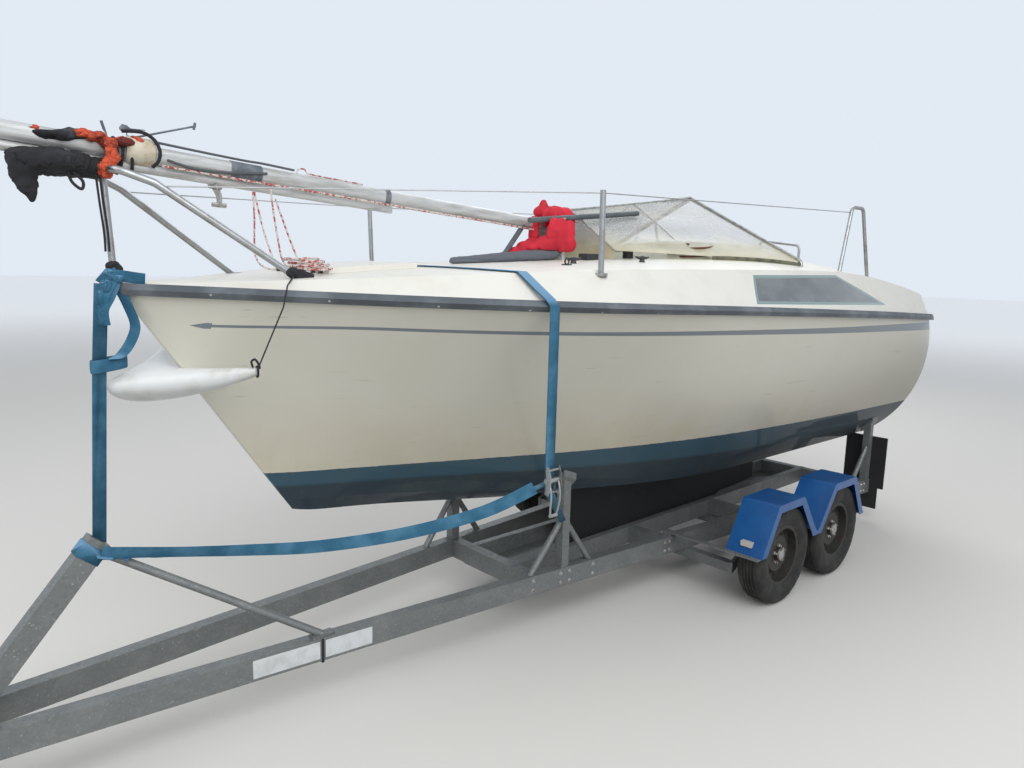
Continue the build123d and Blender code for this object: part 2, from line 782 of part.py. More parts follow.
with BuildPart() as blue_straps:
    with BuildSketch(Plane(origin=(at(strap_station) - strap_wide / 2, 0, 0), x_dir=(0, 1, 0), z_dir=(1, 0, 0))) as loop:
        for grow, mode in ((strap_thick, Mode.ADD), (0, Mode.SUBTRACT)):
            half_loop = [(y + grow, z + (grow if index > 1 else 0)) for index, (y, z) in enumerate(strap_over)]
            with BuildLine() as outline:
                Polyline(*half_loop)
                ThreePointArc(
                    half_loop[-1], (0, strap_crown + grow), (-half_loop[-1][0], half_loop[-1][1])
                )
                Polyline(*[(-y, z) for y, z in reversed(half_loop)])
                Line((-half_loop[0][0], half_loop[0][1]), half_loop[0])
            make_face(outline.line, mode=mode)
    extrude(loop.sketch, amount=strap_wide)
    for side, station, feet in support_rows[:2]:
        start = Vector(at(strap_station), side * (strap_y + strap_thick / 2), 999)
        end = Vector(at(station + 22), side * (rail_y(station) + 18), brace_top_z - 13)
        with BuildSketch(Plane(origin=start, x_dir=(1, 0, 0), z_dir=end - start)) as lower_run:
            Rectangle(strap_wide * 0.7, strap_thick)
        extrude(lower_run.sketch, amount=(end - start).length)
        head = (at(station), side * rail_y(station), brace_top_z)
        for foot in feet:
            rod((at(foot), side * rail_y(foot), rail_top_z), head, brace_r_support + touch, Mode.SUBTRACT)
        low = [value - upright_half - touch for value in head]
        high = [value + upright_half + touch for value in head]
        add(slab(low, high), mode=Mode.SUBTRACT)
    for start, end in rod_ends([Vector(at(x), 0, z) for x, z in stem_run]):
        flat = Plane(origin=start, x_dir=stem_band_dir, z_dir=end - start)
        with BuildSketch(flat) as stem_band:
            Rectangle(strap_wide, strap_thick)
        extrude(stem_band.sketch, amount=(end - start).length)
    rod(upright_at(stem_wrap[0]), upright_at(stem_wrap[1]), upright_r + strap_thick + touch)
    add(post_box(touch, 0, post_long), mode=Mode.SUBTRACT)
    add(post_box(strap_thick + touch, post_long - 80, post_long - 25))
    add(post_box(touch, 0, post_long), mode=Mode.SUBTRACT)
    with BuildLine() as slack_route:
        ThreePointArc((at(3222), 40, 796), (at(2440), 300, 700), (at(1868), 950, 1035))
    with BuildSketch(Plane(origin=slack_route.line @ 0, x_dir=(0.35, 0.94, 0), z_dir=slack_route.line % 0)) as ribbon:
        Rectangle(strap_wide, strap_thick)
    sweep(ribbon.sketch, path=slack_route.line)
    add(post_box(touch, 0, post_long), mode=Mode.SUBTRACT)
    add(slab(ratchet_low, ratchet_high), mode=Mode.SUBTRACT)
    rod(upright_top, upright_foot, upright_r + touch, mode=Mode.SUBTRACT)
    rod((upright_foot[0], 0, 1740), (upright_foot[0], 0, stem_flange_z + touch), stem_flange_r + touch, Mode.SUBTRACT)
    rod(brace_head, brace_foot, brace_r + touch, mode=Mode.SUBTRACT)
keep(blue_straps, "blue_straps")

# Bow post with its plate on the rails, and one round brace with a flat foot on the port rail
with BuildPart() as bow_post:
    add(post_box(0, 0, post_long))
    block((at(3560), -rail_y(3560) - 20, rail_top_z), (at(3720), rail_y(3560) + 20, rail_top_z + 10))
    rod(brace_head, brace_foot, brace_r)
    block(
        (at(brace_station) - 50, rail_y(brace_station) - 22, rail_top_z),
        (at(brace_station) + 50, rail_y(brace_station) + 22, rail_top_z + 8),
    )
    below_rails = slab((at(2300), -200, 200), (at(3800), 300, rail_top_z))
    add(below_rails, mode=Mode.SUBTRACT)
keep(bow_post, "bow_post")

# Coupling head with a ball socket open below, and the jockey wheel's clamp
ball_r = 25
ball_z = 360
jockey_station = coupling_station - 520
jockey_y = -222
jockey_r = 100
tube_outer = 29
clamp_z = (300, 370)
with BuildPart() as coupling_gear:
    block((at(coupling_station - 420), -76, rail_top_z - 110), (at(coupling_station - 200), 76, rail_top_z + 15))
    block((at(coupling_station - 300), -34, rail_top_z), (at(coupling_station), 34, ball_z + 36))
    with Locations((at(coupling_station), 0, ball_z + 3)):
        Cylinder(42, 66)
    with Locations((at(coupling_station), 0, ball_z)):
        Sphere(ball_r + 0.5, mode=Mode.SUBTRACT)
        Cylinder(ball_r + 0.5, 60, align=(Align.CENTER, Align.CENTER, Align.MAX), mode=Mode.SUBTRACT)
    with Locations((at(jockey_station), jockey_y, clamp_z[0])):
        Cylinder(tube_outer + 9, clamp_z[1] - clamp_z[0], align=(Align.CENTER, Align.CENTER, Align.MIN))
    block(
        (at(jockey_station) - 25, jockey_y + 20, clamp_z[0]),
        (at(jockey_station) + 25, -rail_y(jockey_station), clamp_z[1]),
    )
    with Locations((at(jockey_station), jockey_y, clamp_z[0] - 5)):
        Cylinder(
            tube_outer + pin_clearance, 100, align=(Align.CENTER, Align.CENTER, Align.MIN), mode=Mode.SUBTRACT
        )
    add(rail_space, mode=Mode.SUBTRACT)
keep(coupling_gear, "coupling_gear")


# Axles: a beam under the rails, with a trailing arm and a stub at each end
axle_stations = (0, -axle_gap)
wheel_z = 280
wheel_y = 927
tyre_r = 280
tyre_wide = 145
arm_reach = 150
beam_z = 180
beam_half = 27
stub_r = 15
with BuildPart() as axles:
    for station in axle_stations:
        beam_x = at(station + arm_reach)
        block((beam_x - beam_half, -760, beam_z - beam_half), (beam_x + beam_half, 760, beam_z + beam_half))
        for side in (1, -1):
            with BuildSketch(Plane.XZ.offset(-side * 760 + (20 if side < 0 else 0))):
                with BuildLine():
                    Polyline(
                        (beam_x + 30, beam_z - 30),
                        (beam_x + 30, beam_z + 34),
                        (at(station) - 24, wheel_z + 30),
                        (at(station) - 24, wheel_z - 30),
                        close=True,
                    )
                make_face()
            extrude(amount=-20 if side > 0 else -20)
            low, high = sorted((side * 775, side * (wheel_y + 8)))
            with Locations(Location((at(station), (low + high) / 2, wheel_z), (90, 0, 0))):
                Cylinder(stub_r, high - low)
        for side in (1, -1):
            y = side * rail_y(station + arm_reach)
            block((beam_x - 45, y - 25, beam_z + beam_half), (beam_x + 45, y + 25, rail_top_z - rail_high))
keep(axles, "axles")

# Wheels: a worn steel rim and its tyre, four alike
rim_r = 165
flange_r = 177
hub_r = 52
with BuildPart() as tyre_blank:
    with BuildSketch(Plane.XZ) as tyre_profile:
        with BuildLine():
            half = tyre_wide / 2
            Line((rim_r, -half + 22), (rim_r, half - 22))
            Line((rim_r, half - 22), (flange_r + 1, half - 22))
            ThreePointArc((flange_r + 1, half - 22), (rim_r + 56, half), (tyre_r - 14, half - 16))
            Line((tyre_r - 14, half - 16), (tyre_r, half - 30))
            Line((tyre_r, half - 30), (tyre_r, -half + 30))
            Line((tyre_r, -half + 30), (tyre_r - 14, -half + 16))
            ThreePointArc((tyre_r - 14, -half + 16), (rim_r + 56, -half), (flange_r + 1, -half + 22))
            Line((flange_r + 1, -half + 22), (rim_r, -half + 22))
        make_face()
    revolve(axis=Axis.Z)
with BuildPart() as rim_blank:
    with BuildSketch(Plane.XZ) as rim_profile:
        with BuildLine():
            Polyline(
                (stub_r + pin_clearance, 22),
                (hub_r, 22),
                (100, 26),
                (118, 8),
                (rim_r - 12, 8),
                (rim_r - 12, half - 18),
                (flange_r, half - 18),
                (flange_r, half - 22 + touch),
                (rim_r - touch, half - 22 + touch),
                (rim_r - touch, -half + 22 - touch),
                (flange_r, -half + 22 - touch),
                (flange_r, -half + 18),
                (rim_r - 12, -half + 18),
                (rim_r - 12, -2),
                (112, -2),
                (96, 14),
                (hub_r, 10),
                (hub_r, -30),
                (stub_r + pin_clearance, -30),
                close=True,
            )
        make_face()
    revolve(axis=Axis.Z)
    with PolarLocations(134, 8):
        Hole(11)
    with Locations((0, 0, 22)):
        Cylinder(36, 18, align=(Align.CENTER, Align.CENTER, Align.MIN))
wheel_rows = [
    ("front_left", 0, 1),
    ("front_right", 0, -1),
    ("rear_left", -axle_gap, 1),
    ("rear_right", -axle_gap, -1),
]
for corner, station, side in wheel_rows:
    spot = Location((at(station), side * wheel_y, wheel_z), (-90 * side, 0, 0))
    for blank, label in ((tyre_blank, "tyre"), (rim_blank, "rim")):
        piece = blank.part.moved(spot)
        piece.label = f"{label}_{corner}"
        export_step(piece, f"parts/{piece.label}.step")

# Mudguards: folded blue sheet over both wheels of a side, with a lip on the outer edge
guard_y = (800, 1020)
guard_low_z = 338
guard_rows = [
    (298, guard_low_z),
    (150, 604),
    (-133, 604),
    (-312, 362),
    (-338, 362),
    (-517, 604),
    (-800, 604),
    (-948, guard_low_z),
]
guard_bend = 24
guard_bar_stations = (310, -960)
guard_sheet = 3
guard_lip = 45


def guard_face(depth):
    """The guard's outline in side view, as a band of this depth or whole."""
    with BuildLine() as outline:
        FilletPolyline(
            (at(guard_rows[0][0] + 49), 250),
            *[(at(s), z) for s, z in guard_rows[1:-1]],
            (at(guard_rows[-1][0] - 49), 250),
            radius=guard_bend,
            close=True,
        )
    make_face(outline.line)
    if depth:
        offset(amount=-depth, mode=Mode.SUBTRACT)
    with Locations((at(-axle_gap / 2), guard_low_z - 150)):
        Rectangle(2000, 300, mode=Mode.SUBTRACT)


with BuildPart() as mudguards:
    for side in (1, -1):
        inner, outer = guard_y
        for low_y, high_y, depth in ((inner, outer, guard_sheet), (outer - guard_sheet, outer, guard_lip)):
            with BuildSketch(Plane.XZ.offset(-side * low_y)) as face:
                guard_face(depth)
            extrude(face.sketch, amount=-side * (high_y - low_y))
keep(mudguards, "mudguards")

# Crossbeams and the keel's tray: a channel on the axle beams, tied to the rails by stubs,
# and the mudguards' flat bars on their packers
tray_front = 1340
tray_back = -1830
tray_floor = (beam_z + beam_half + touch, keel_foot_z - touch)
tray_wall_y = (150, 190)
tray_wall_top = 310
cross_rows = [(1310, 0), (350, tray_wall_y[0]), (-500, tray_wall_y[0]), (-1800, 0)]
with BuildPart() as cross_frame:
    for station, inner in cross_rows:
        for side in (1, -1):
            low, high = sorted((side * inner, side * rail_y(station)))
            block((at(station) - 30, low, rail_top_z - rail_high + 2), (at(station) + 30, high, rail_top_z - 2))
    add(rail_space, mode=Mode.SUBTRACT)
    block((at(tray_back), -tray_wall_y[1], tray_floor[0]), (at(tray_front), tray_wall_y[1], tray_floor[1]))
    for side in (1, -1):
        low, high = sorted((side * tray_wall_y[0], side * tray_wall_y[1]))
        block((at(tray_back), low, tray_floor[0]), (at(tray_front), high, tray_wall_top))
    for station in guard_bar_stations:
        for side in (1, -1):
            y = side * rail_y(station)
            block((at(station) - 20, y - 25, rail_top_z), (at(station) + 20, y + 25, guard_low_z - 8))
            low, high = sorted((y - side * 25, side * (guard_y[1] - 12)))
            block((at(station) - 20, low, guard_low_z - 8), (at(station) + 20, high, guard_low_z - touch))
keep(cross_frame, "cross_frame")

# Marker lamps low on the front of the mudguards
with BuildPart() as marker_lamps:
    for side in (1, -1):
        low, high = sorted((side * 880, side * 945))
        block((at(240), low, 378), (at(286), high, 406))
    for side in (1, -1):
        with BuildSketch(Plane.XZ.offset(-side * (guard_y[0] + 10))) as face:
            guard_face(0)
        extrude(face.sketch, amount=-side * (guard_y[1] - guard_y[0] - 20), mode=Mode.SUBTRACT)
keep(marker_lamps, "marker_lamps")

# Dark plates at the rails' end: a board on the rear upright with a flap hung below it.
# Columns: inner and outer edge, foot and head
plate_rows = [(470, 770, 250, 640), (600, 730, 90, 250)]
plate_back = -1905
plate_thick = 10 - touch
with BuildPart() as tail_plates:
    for inner, outer, foot, head in plate_rows:
        for side in (1, -1):
            low, high = sorted((side * inner, side * outer))
            block((at(plate_back), low, foot), (at(plate_back) + plate_thick, high, head))
    add(rail_space, mode=Mode.SUBTRACT)
    add(seat_body, mode=Mode.SUBTRACT)
keep(tail_plates, "tail_plates")

# Rudder: a blade on two pins in gudgeons, its head forked round the tiller
rudder_pin_x = at(transom_station) - 50
gudgeon_high = 26
gudgeon_zs = (1000, 1420)
rudder_half = 18
pintle_r = 6
with BuildPart() as gudgeons:
    for z in gudgeon_zs:
        block((rudder_pin_x, -14, z), (at(transom_station), 14, z + gudgeon_high))
        with Locations((rudder_pin_x, 0, z + gudgeon_high / 2)):
            Cylinder(14, gudgeon_high)
            Cylinder(pintle_r + pin_clearance, gudgeon_high, mode=Mode.SUBTRACT)
keep(gudgeons, "gudgeons")

tiller_z = 1752
tongue = (26, 40)
with BuildPart() as rudder:
    with BuildSketch(Plane.XZ.offset(-rudder_half)) as blade:
        with BuildLine():
            Polyline(
                (rudder_pin_x - 24, 1640),
                (rudder_pin_x - 24, 560),
                (rudder_pin_x - 60, 420),
                (rudder_pin_x - 240, 420),
                (at(stern_end_station), 560),
                (rudder_pin_x - 300, 1250),
                (rudder_pin_x - 200, 1640),
                close=True,
            )
        make_face()
    extrude(blade.sketch, amount=2 * rudder_half)
    for z in gudgeon_zs:
        block((rudder_pin_x - 40, -12, z + gudgeon_high + touch), (rudder_pin_x + 12, 12, z + gudgeon_high + 26))
        with Locations((rudder_pin_x, 0, z + 5)):
            Cylinder(pintle_r, 80)
    block((rudder_pin_x - 190, -tongue[0] / 2 - 12, 1600), (rudder_pin_x - 40, tongue[0] / 2 + 12, 1785))
    tongue_slot = slab(
        (rudder_pin_x - 200, -tongue[0] / 2 - touch, tiller_z - tongue[1] / 2 - 8 - touch),
        (rudder_pin_x, tongue[0] / 2 + touch, 1800),
    )
    add(tongue_slot, mode=Mode.SUBTRACT)
keep(rudder, "rudder")

with BuildPart() as tiller:
    block(
        (rudder_pin_x - 170, -tongue[0] / 2, tiller_z - tongue[1] / 2 - 8),
        (rudder_pin_x + 20, tongue[0] / 2, tiller_z + tongue[1] / 2),
    )
    rod((rudder_pin_x - 20, 0, tiller_z), (rudder_pin_x + 850, 0, tiller_z + 70), 18)
keep(tiller, "tiller")

# Jockey wheel: the tube in its clamp, the swivelling fork and a small solid wheel
jockey_wide = 60
jockey_trail = 32
fork_top = 215
jockey_axle_r = 8
crank_z = 735
with BuildPart() as jockey_tube:
    with Locations((at(jockey_station), jockey_y, fork_top + touch)):
        Cylinder(tube_outer, 500, align=(Align.CENTER, Align.CENTER, Align.MIN))
    rod((at(jockey_station), jockey_y, 700), (at(jockey_station), jockey_y, crank_z), 10)
    rod((at(jockey_station), jockey_y, crank_z), (at(jockey_station) + 140, jockey_y, crank_z), 8)
    rod((at(jockey_station) + 140, jockey_y, crank_z - 8), (at(jockey_station) + 140, jockey_y, crank_z + 80), 12)
keep(jockey_tube, "jockey_tube")

fork_x = at(jockey_station) - jockey_trail
fork_inner = jockey_wide / 2 + 6
fork_outer = fork_inner + 6
with BuildPart() as jockey_fork:
    block(
        (fork_x - 20, jockey_y - fork_outer, fork_top - 8),
        (at(jockey_station) + 30, jockey_y + fork_outer, fork_top),
    )
    for side in (1, -1):
        low, high = sorted((jockey_y + side * fork_inner, jockey_y + side * fork_outer))
        block((fork_x - 20, low, jockey_r - 20), (fork_x + 20, high, fork_top))
    with Locations(Location((fork_x, jockey_y, jockey_r), (90, 0, 0))):
        Cylinder(jockey_axle_r, 2 * fork_outer + 8)
keep(jockey_fork, "jockey_fork")

with BuildPart() as jockey_wheel:
    with Locations(Location((fork_x, jockey_y, jockey_r), (90, 0, 0))):
        Cylinder(jockey_r, jockey_wide)
        Cylinder(jockey_axle_r + pin_clearance, jockey_wide, mode=Mode.SUBTRACT)
keep(jockey_wheel, "jockey_wheel")
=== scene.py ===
import json
import math

import bmesh
import bpy
from mathutils import Matrix, Vector, noise


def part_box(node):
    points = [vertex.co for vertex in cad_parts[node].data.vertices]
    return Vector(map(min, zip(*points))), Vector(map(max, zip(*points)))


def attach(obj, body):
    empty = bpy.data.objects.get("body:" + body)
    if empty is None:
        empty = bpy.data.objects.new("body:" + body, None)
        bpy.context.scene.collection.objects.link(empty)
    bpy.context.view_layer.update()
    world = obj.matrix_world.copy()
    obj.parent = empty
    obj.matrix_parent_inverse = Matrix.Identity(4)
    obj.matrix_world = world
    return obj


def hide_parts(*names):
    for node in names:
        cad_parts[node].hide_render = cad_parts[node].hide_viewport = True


# A small cabin sailing boat on its tandem trailer, dressed for a studio picture.
# Metres, +X towards the bow, +Y to port, ground at Z = 0. Stations count from the front axle.
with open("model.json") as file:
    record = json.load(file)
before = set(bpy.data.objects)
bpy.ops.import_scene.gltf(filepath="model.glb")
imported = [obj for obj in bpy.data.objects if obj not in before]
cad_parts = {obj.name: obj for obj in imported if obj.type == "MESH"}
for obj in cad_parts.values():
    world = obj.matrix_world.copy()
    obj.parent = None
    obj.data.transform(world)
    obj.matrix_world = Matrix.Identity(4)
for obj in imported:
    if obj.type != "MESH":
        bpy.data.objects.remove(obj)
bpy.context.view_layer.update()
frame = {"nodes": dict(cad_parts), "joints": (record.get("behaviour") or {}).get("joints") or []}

# Camera: it stands low beside the bow, where the photograph was taken. Its place, turn and lens
# were solved from the four wheels, the rails and the straps.
joints = {joint["name"]: joint for joint in frame["joints"]}
axle_x = joints["wheel_spin_front_left"]["pos_m"][0]


def at(station):
    """Distance along X of a station, in metres."""
    return axle_x + station


camera_place = Vector((at(3.9037), 2.9297, 1.8674))
camera_yaw, camera_pitch, camera_roll = -2.31822, -0.15932, 0.02514
sensor_width, focal_pixels, picture_width = 36, 764.77, 1024
ahead = Vector((
    math.cos(camera_yaw) * math.cos(camera_pitch),
    math.sin(camera_yaw) * math.cos(camera_pitch),
    math.sin(camera_pitch),
))
across = ahead.cross(Vector((0, 0, 1))).normalized()
upward = across.cross(ahead)
right = across * math.cos(camera_roll) + upward * math.sin(camera_roll)
top = upward * math.cos(camera_roll) - across * math.sin(camera_roll)
camera_data = bpy.data.cameras.new("photo_camera")
camera_data.sensor_width = sensor_width
camera_data.lens = focal_pixels / picture_width * sensor_width
camera_data.clip_start, camera_data.clip_end = 0.05, 200
camera = bpy.data.objects.new("photo_camera", camera_data)
bpy.context.scene.collection.objects.link(camera)
camera.matrix_world = Matrix.Translation(camera_place) @ Matrix((right, top, -ahead)).transposed().to_4x4()
bpy.context.scene.camera = camera

# Light: a soft overcast sky and three broad lamps at a plain level. The sky is brighter where it is
# seen, mirrored or looked at through the hood than where it lights the boat.
bpy.context.scene.view_settings.view_transform = "Standard"
world = bpy.data.worlds.new("soft_sky")
world.use_nodes = True
bpy.context.scene.world = world
sky = world.node_tree
sky_light, sky_seen = sky.nodes["Background"], sky.nodes.new("ShaderNodeBackground")
sky_light.inputs["Color"].default_value = (0.88, 0.91, 0.95, 1)
sky_light.inputs["Strength"].default_value = 0.50
sky_seen.inputs["Color"].default_value = (0.76, 0.82, 0.90, 1)
sky_ray, sky_mix = sky.nodes.new("ShaderNodeLightPath"), sky.nodes.new("ShaderNodeMixShader")
sky_any, sky_all = sky.nodes.new("ShaderNodeMath"), sky.nodes.new("ShaderNodeMath")
sky_any.operation = sky_all.operation = "ADD"
sky_all.use_clamp = True
for source, target in (
    (sky_ray.outputs["Is Camera Ray"], sky_any.inputs[0]), (sky_ray.outputs["Is Glossy Ray"], sky_any.inputs[1]),
    (sky_any.outputs[0], sky_all.inputs[0]), (sky_ray.outputs["Is Transmission Ray"], sky_all.inputs[1]),
    (sky_all.outputs[0], sky_mix.inputs[0]), (sky_light.outputs[0], sky_mix.inputs[1]),
    (sky_seen.outputs[0], sky_mix.inputs[2]), (sky_mix.outputs[0], sky.nodes["World Output"].inputs["Surface"]),
):
    sky.links.new(source, target)
for label, place, aim, size, power in (
    ("key_light", (2.2, 6.8, 6.6), (0.4, 0, 1.0), 8.0, 540),
    ("bow_light", (7.0, -1.0, 6.5), (0.5, 0, 1.0), 6.0, 170),
    ("stern_light", (-7.5, -3.5, 7.0), (-1.0, 0, 1.0), 6.0, 210),
):
    lamp_data = bpy.data.lights.new(label, "AREA")
    lamp_data.energy, lamp_data.size = power, size
    lamp = bpy.data.objects.new(label, lamp_data)
    lamp.location = place
    lamp.rotation_euler = (Vector(aim) - Vector(place)).to_track_quat("-Z", "Y").to_euler()
    bpy.context.scene.collection.objects.link(lamp)


# Floor: a very pale wide sheet that isn't part of the boat. It is darker for the light it throws
# back than for the picture, and fades into the sky far off.
nodes = frame["nodes"]


class Look:
    """A node material in the row frame's coordinates, with short calls for the usual nodes."""

    def __init__(self, name, colour=None, rough=0.5, metal=0.0, **sockets):
        self.material = bpy.data.materials.new(name)
        self.material.use_nodes = True
        self.tree = self.material.node_tree
        self.shader = self.tree.nodes["Principled BSDF"]
        self.place = self.add("ShaderNodeTexCoord").outputs["Object"]
        if colour:
            self.shader.inputs["Base Color"].default_value = (*colour, 1)
        self.shader.inputs["Roughness"].default_value = rough
        self.shader.inputs["Metallic"].default_value = metal
        for socket, value in sockets.items():
            self.shader.inputs[socket.replace("_", " ")].default_value = value

    def add(self, kind, **settings):
        node = self.tree.nodes.new(kind)
        for setting, value in settings.items():
            setattr(node, setting, value)
        return node

    def feed(self, socket, value):
        """Link an output into a socket, or set a plain value there."""
        if isinstance(value, bpy.types.NodeSocket):
            self.tree.links.new(value, socket)
        elif isinstance(value, tuple) and len(value) == 3 and socket.type == "RGBA":
            socket.default_value = (*value, 1)
        else:
            socket.default_value = value

    def sum(self, kind, first, second=0.0, third=None, clamp=False):
        node = self.add("ShaderNodeMath", operation=kind, use_clamp=clamp)
        for socket, value in zip(node.inputs, (first, second, third)):
            if value is not None:
                self.feed(socket, value)
        return node.outputs[0]

    def axis(self, letter, place=None):
        node = self.add("ShaderNodeSeparateXYZ")
        self.feed(node.inputs[0], place or self.place)
        return node.outputs[letter]

    def noise(self, scale, detail=3, rough=0.55, stretch=None):
        node = self.add("ShaderNodeTexNoise")
        place = self.place
        if stretch:
            longer = self.add("ShaderNodeVectorMath", operation="MULTIPLY")
            self.feed(longer.inputs[0], place)
            longer.inputs[1].default_value = stretch
            place = longer.outputs[0]
        self.feed(node.inputs["Vector"], place)
        for socket, number in (("Scale", scale), ("Detail", detail), ("Roughness", rough)):
            node.inputs[socket].default_value = number
        return node.outputs["Fac"]

    def cells(self, scale):
        node = self.add("ShaderNodeTexVoronoi")
        self.feed(node.inputs["Vector"], self.place)
        node.inputs["Scale"].default_value = scale
        return node

    def ramp(self, value, low, high, bottom=0.0, top=1.0):
        node = self.add("ShaderNodeMapRange", interpolation_type="SMOOTHSTEP")
        self.feed(node.inputs["Value"], value)
        for socket, number in zip(("From Min", "From Max", "To Min", "To Max"), (low, high, bottom, top)):
            node.inputs[socket].default_value = number
        return node.outputs["Result"]

    def mix(self, mask, first, second):
        node = self.add("ShaderNodeMix", data_type="RGBA")
        self.feed(node.inputs["Factor"], mask)
        self.feed(node.inputs[6], first)
        self.feed(node.inputs[7], second)
        return node.outputs[2]

    def colour(self, value):
        self.feed(self.shader.inputs["Base Color"], value)

    def rough(self, value):
        self.feed(self.shader.inputs["Roughness"], value)

    def bump(self, height, strength, distance):
        node = self.add("ShaderNodeBump")
        node.inputs["Strength"].default_value = strength
        node.inputs["Distance"].default_value = distance
        self.feed(node.inputs["Height"], height)
        if self.shader.inputs["Normal"].is_linked:
            self.feed(node.inputs["Normal"], self.shader.inputs["Normal"].links[0].from_socket)
        self.feed(self.shader.inputs["Normal"], node.outputs["Normal"])


def dress(look, *names):
    """Give CAD nodes or new pieces one material."""
    for name in names:
        piece = nodes.get(name) or bpy.data.objects[name]
        piece.data.materials.clear()
        piece.data.materials.append(look.material)


floor_reach = 60
floor_mesh = bpy.data.meshes.new("studio_floor")
floor_corners = [(x * floor_reach, y * floor_reach, 0) for x, y in ((-1, -1), (1, -1), (1, 1), (-1, 1))]
floor_mesh.from_pydata(floor_corners, [], [(0, 1, 2, 3)])
floor = bpy.data.objects.new("studio_floor", floor_mesh)
bpy.context.scene.collection.objects.link(floor)
floor_look = Look("floor_pale", rough=0.85)
floor_ray = floor_look.add("ShaderNodeLightPath")
seen_ray = floor_look.sum("ADD", floor_ray.outputs["Is Camera Ray"], floor_ray.outputs["Is Glossy Ray"])
seen_ray = floor_look.sum("ADD", seen_ray, floor_ray.outputs["Is Transmission Ray"], clamp=True)
floor_look.colour(floor_look.mix(seen_ray, (0.40, 0.39, 0.37), (0.78, 0.77, 0.74)))
far_off = floor_look.add("ShaderNodeVectorMath", operation="LENGTH")
floor_look.feed(far_off.inputs[0], floor_look.place)
glow = floor_look.sum("MULTIPLY", floor_look.ramp(far_off.outputs["Value"], 6.0, 26.0), seen_ray)
floor_look.feed(floor_look.shader.inputs["Emission Color"], floor_look.mix(glow, (0.0, 0.0, 0.0), (0.34, 0.37, 0.42)))
floor_look.shader.inputs["Emission Strength"].default_value = 1.0
dress(floor_look, "studio_floor")

# Hull shell: glass fibre in cream gelcoat, moulded in one piece and closed by its transom. It has a
# thin grey cove stripe under the rail with an arrow's head at the bow, stains above the waterline,
# scuffs from fenders, and dark antifouling brushed on below with a lighter band along its top.
def smooth(angle, *names):
    """Shade CAD nodes or pieces smooth, keeping edges sharper than the angle."""
    for name in names:
        piece = nodes.get(name) or bpy.data.objects[name]
        for face in piece.data.polygons:
            face.use_smooth = True
        piece.data.set_sharp_from_angle(angle=math.radians(angle))


def effect_group(name, inputs, output, kind):
    """A shader group with a stretched noise inside, and the named inputs and output."""
    tree = bpy.data.node_groups.new(name, "ShaderNodeTree")
    shared = (
        ("Place", "NodeSocketVector", (0, 0, 0)), ("Stretch", "NodeSocketVector", (1, 1, 1)),
        ("Scale", "NodeSocketFloat", 10.0), ("Detail", "NodeSocketFloat", 3.0), ("Roughness", "NodeSocketFloat", 0.55),
    )
    for label, socket_kind, value in shared + inputs:
        tree.interface.new_socket(label, in_out="INPUT", socket_type=socket_kind).default_value = value
    tree.interface.new_socket(output, in_out="OUTPUT", socket_type=kind)
    given, gives = tree.nodes.new("NodeGroupInput").outputs, tree.nodes.new("NodeGroupOutput").inputs
    longer, cloud = tree.nodes.new("ShaderNodeVectorMath"), tree.nodes.new("ShaderNodeTexNoise")
    longer.operation = "MULTIPLY"
    tree.links.new(given["Place"], longer.inputs[0])
    tree.links.new(given["Stretch"], longer.inputs[1])
    tree.links.new(longer.outputs[0], cloud.inputs["Vector"])
    for label in ("Scale", "Detail", "Roughness"):
        tree.links.new(given[label], cloud.inputs[label])
    return tree, given, gives, cloud.outputs["Fac"]


def place_effect(look, tree, output, **values):
    """The output of a shader group set in a look with the look's own values."""
    node = look.add("ShaderNodeGroup", node_tree=tree)
    look.feed(node.inputs["Place"], look.place)
    for label, value in values.items():
        look.feed(node.inputs[label], value)
    return node.outputs[output]


grain_tree, given, gives, height = effect_group(
    "fine_grain", (("Strength", "NodeSocketFloat", 0.2), ("Distance", "NodeSocketFloat", 0.001)),
    "Normal", "NodeSocketVector")
relief = grain_tree.nodes.new("ShaderNodeBump")
grain_tree.links.new(height, relief.inputs["Height"])
for label in ("Strength", "Distance"):
    grain_tree.links.new(given[label], relief.inputs[label])
grain_tree.links.new(relief.outputs["Normal"], gives["Normal"])


def grain(look, scale, detail, strength, distance, rough=0.55, stretch=(1, 1, 1)):
    """Fine relief over the whole of a look's surface."""
    look.feed(look.shader.inputs["Normal"], place_effect(
        look, grain_tree, "Normal", Scale=scale, Detail=detail, Roughness=rough, Stretch=stretch,
        Strength=strength, Distance=distance))


sheer_stern, sheer_mid, sheer_bow = (-2.17, 1.540), (0.9, 1.672), (3.09, 1.737)
water_slope, water_level = 0.0166, 0.937
cream, ochre, line_grey = (0.77, 0.755, 0.665), (0.60, 0.51, 0.32), (0.20, 0.235, 0.27)
teal, navy, scum = (0.028, 0.085, 0.125), (0.012, 0.030, 0.044), (0.07, 0.075, 0.06)
hull_look = Look("hull_gelcoat", Coat_Weight=0.25)
work, ramp = hull_look.sum, hull_look.ramp
station, height = work("SUBTRACT", hull_look.axis("X"), axle_x), hull_look.axis("Z")
over = work("SUBTRACT", height, work("MULTIPLY_ADD", station, water_slope, water_level))
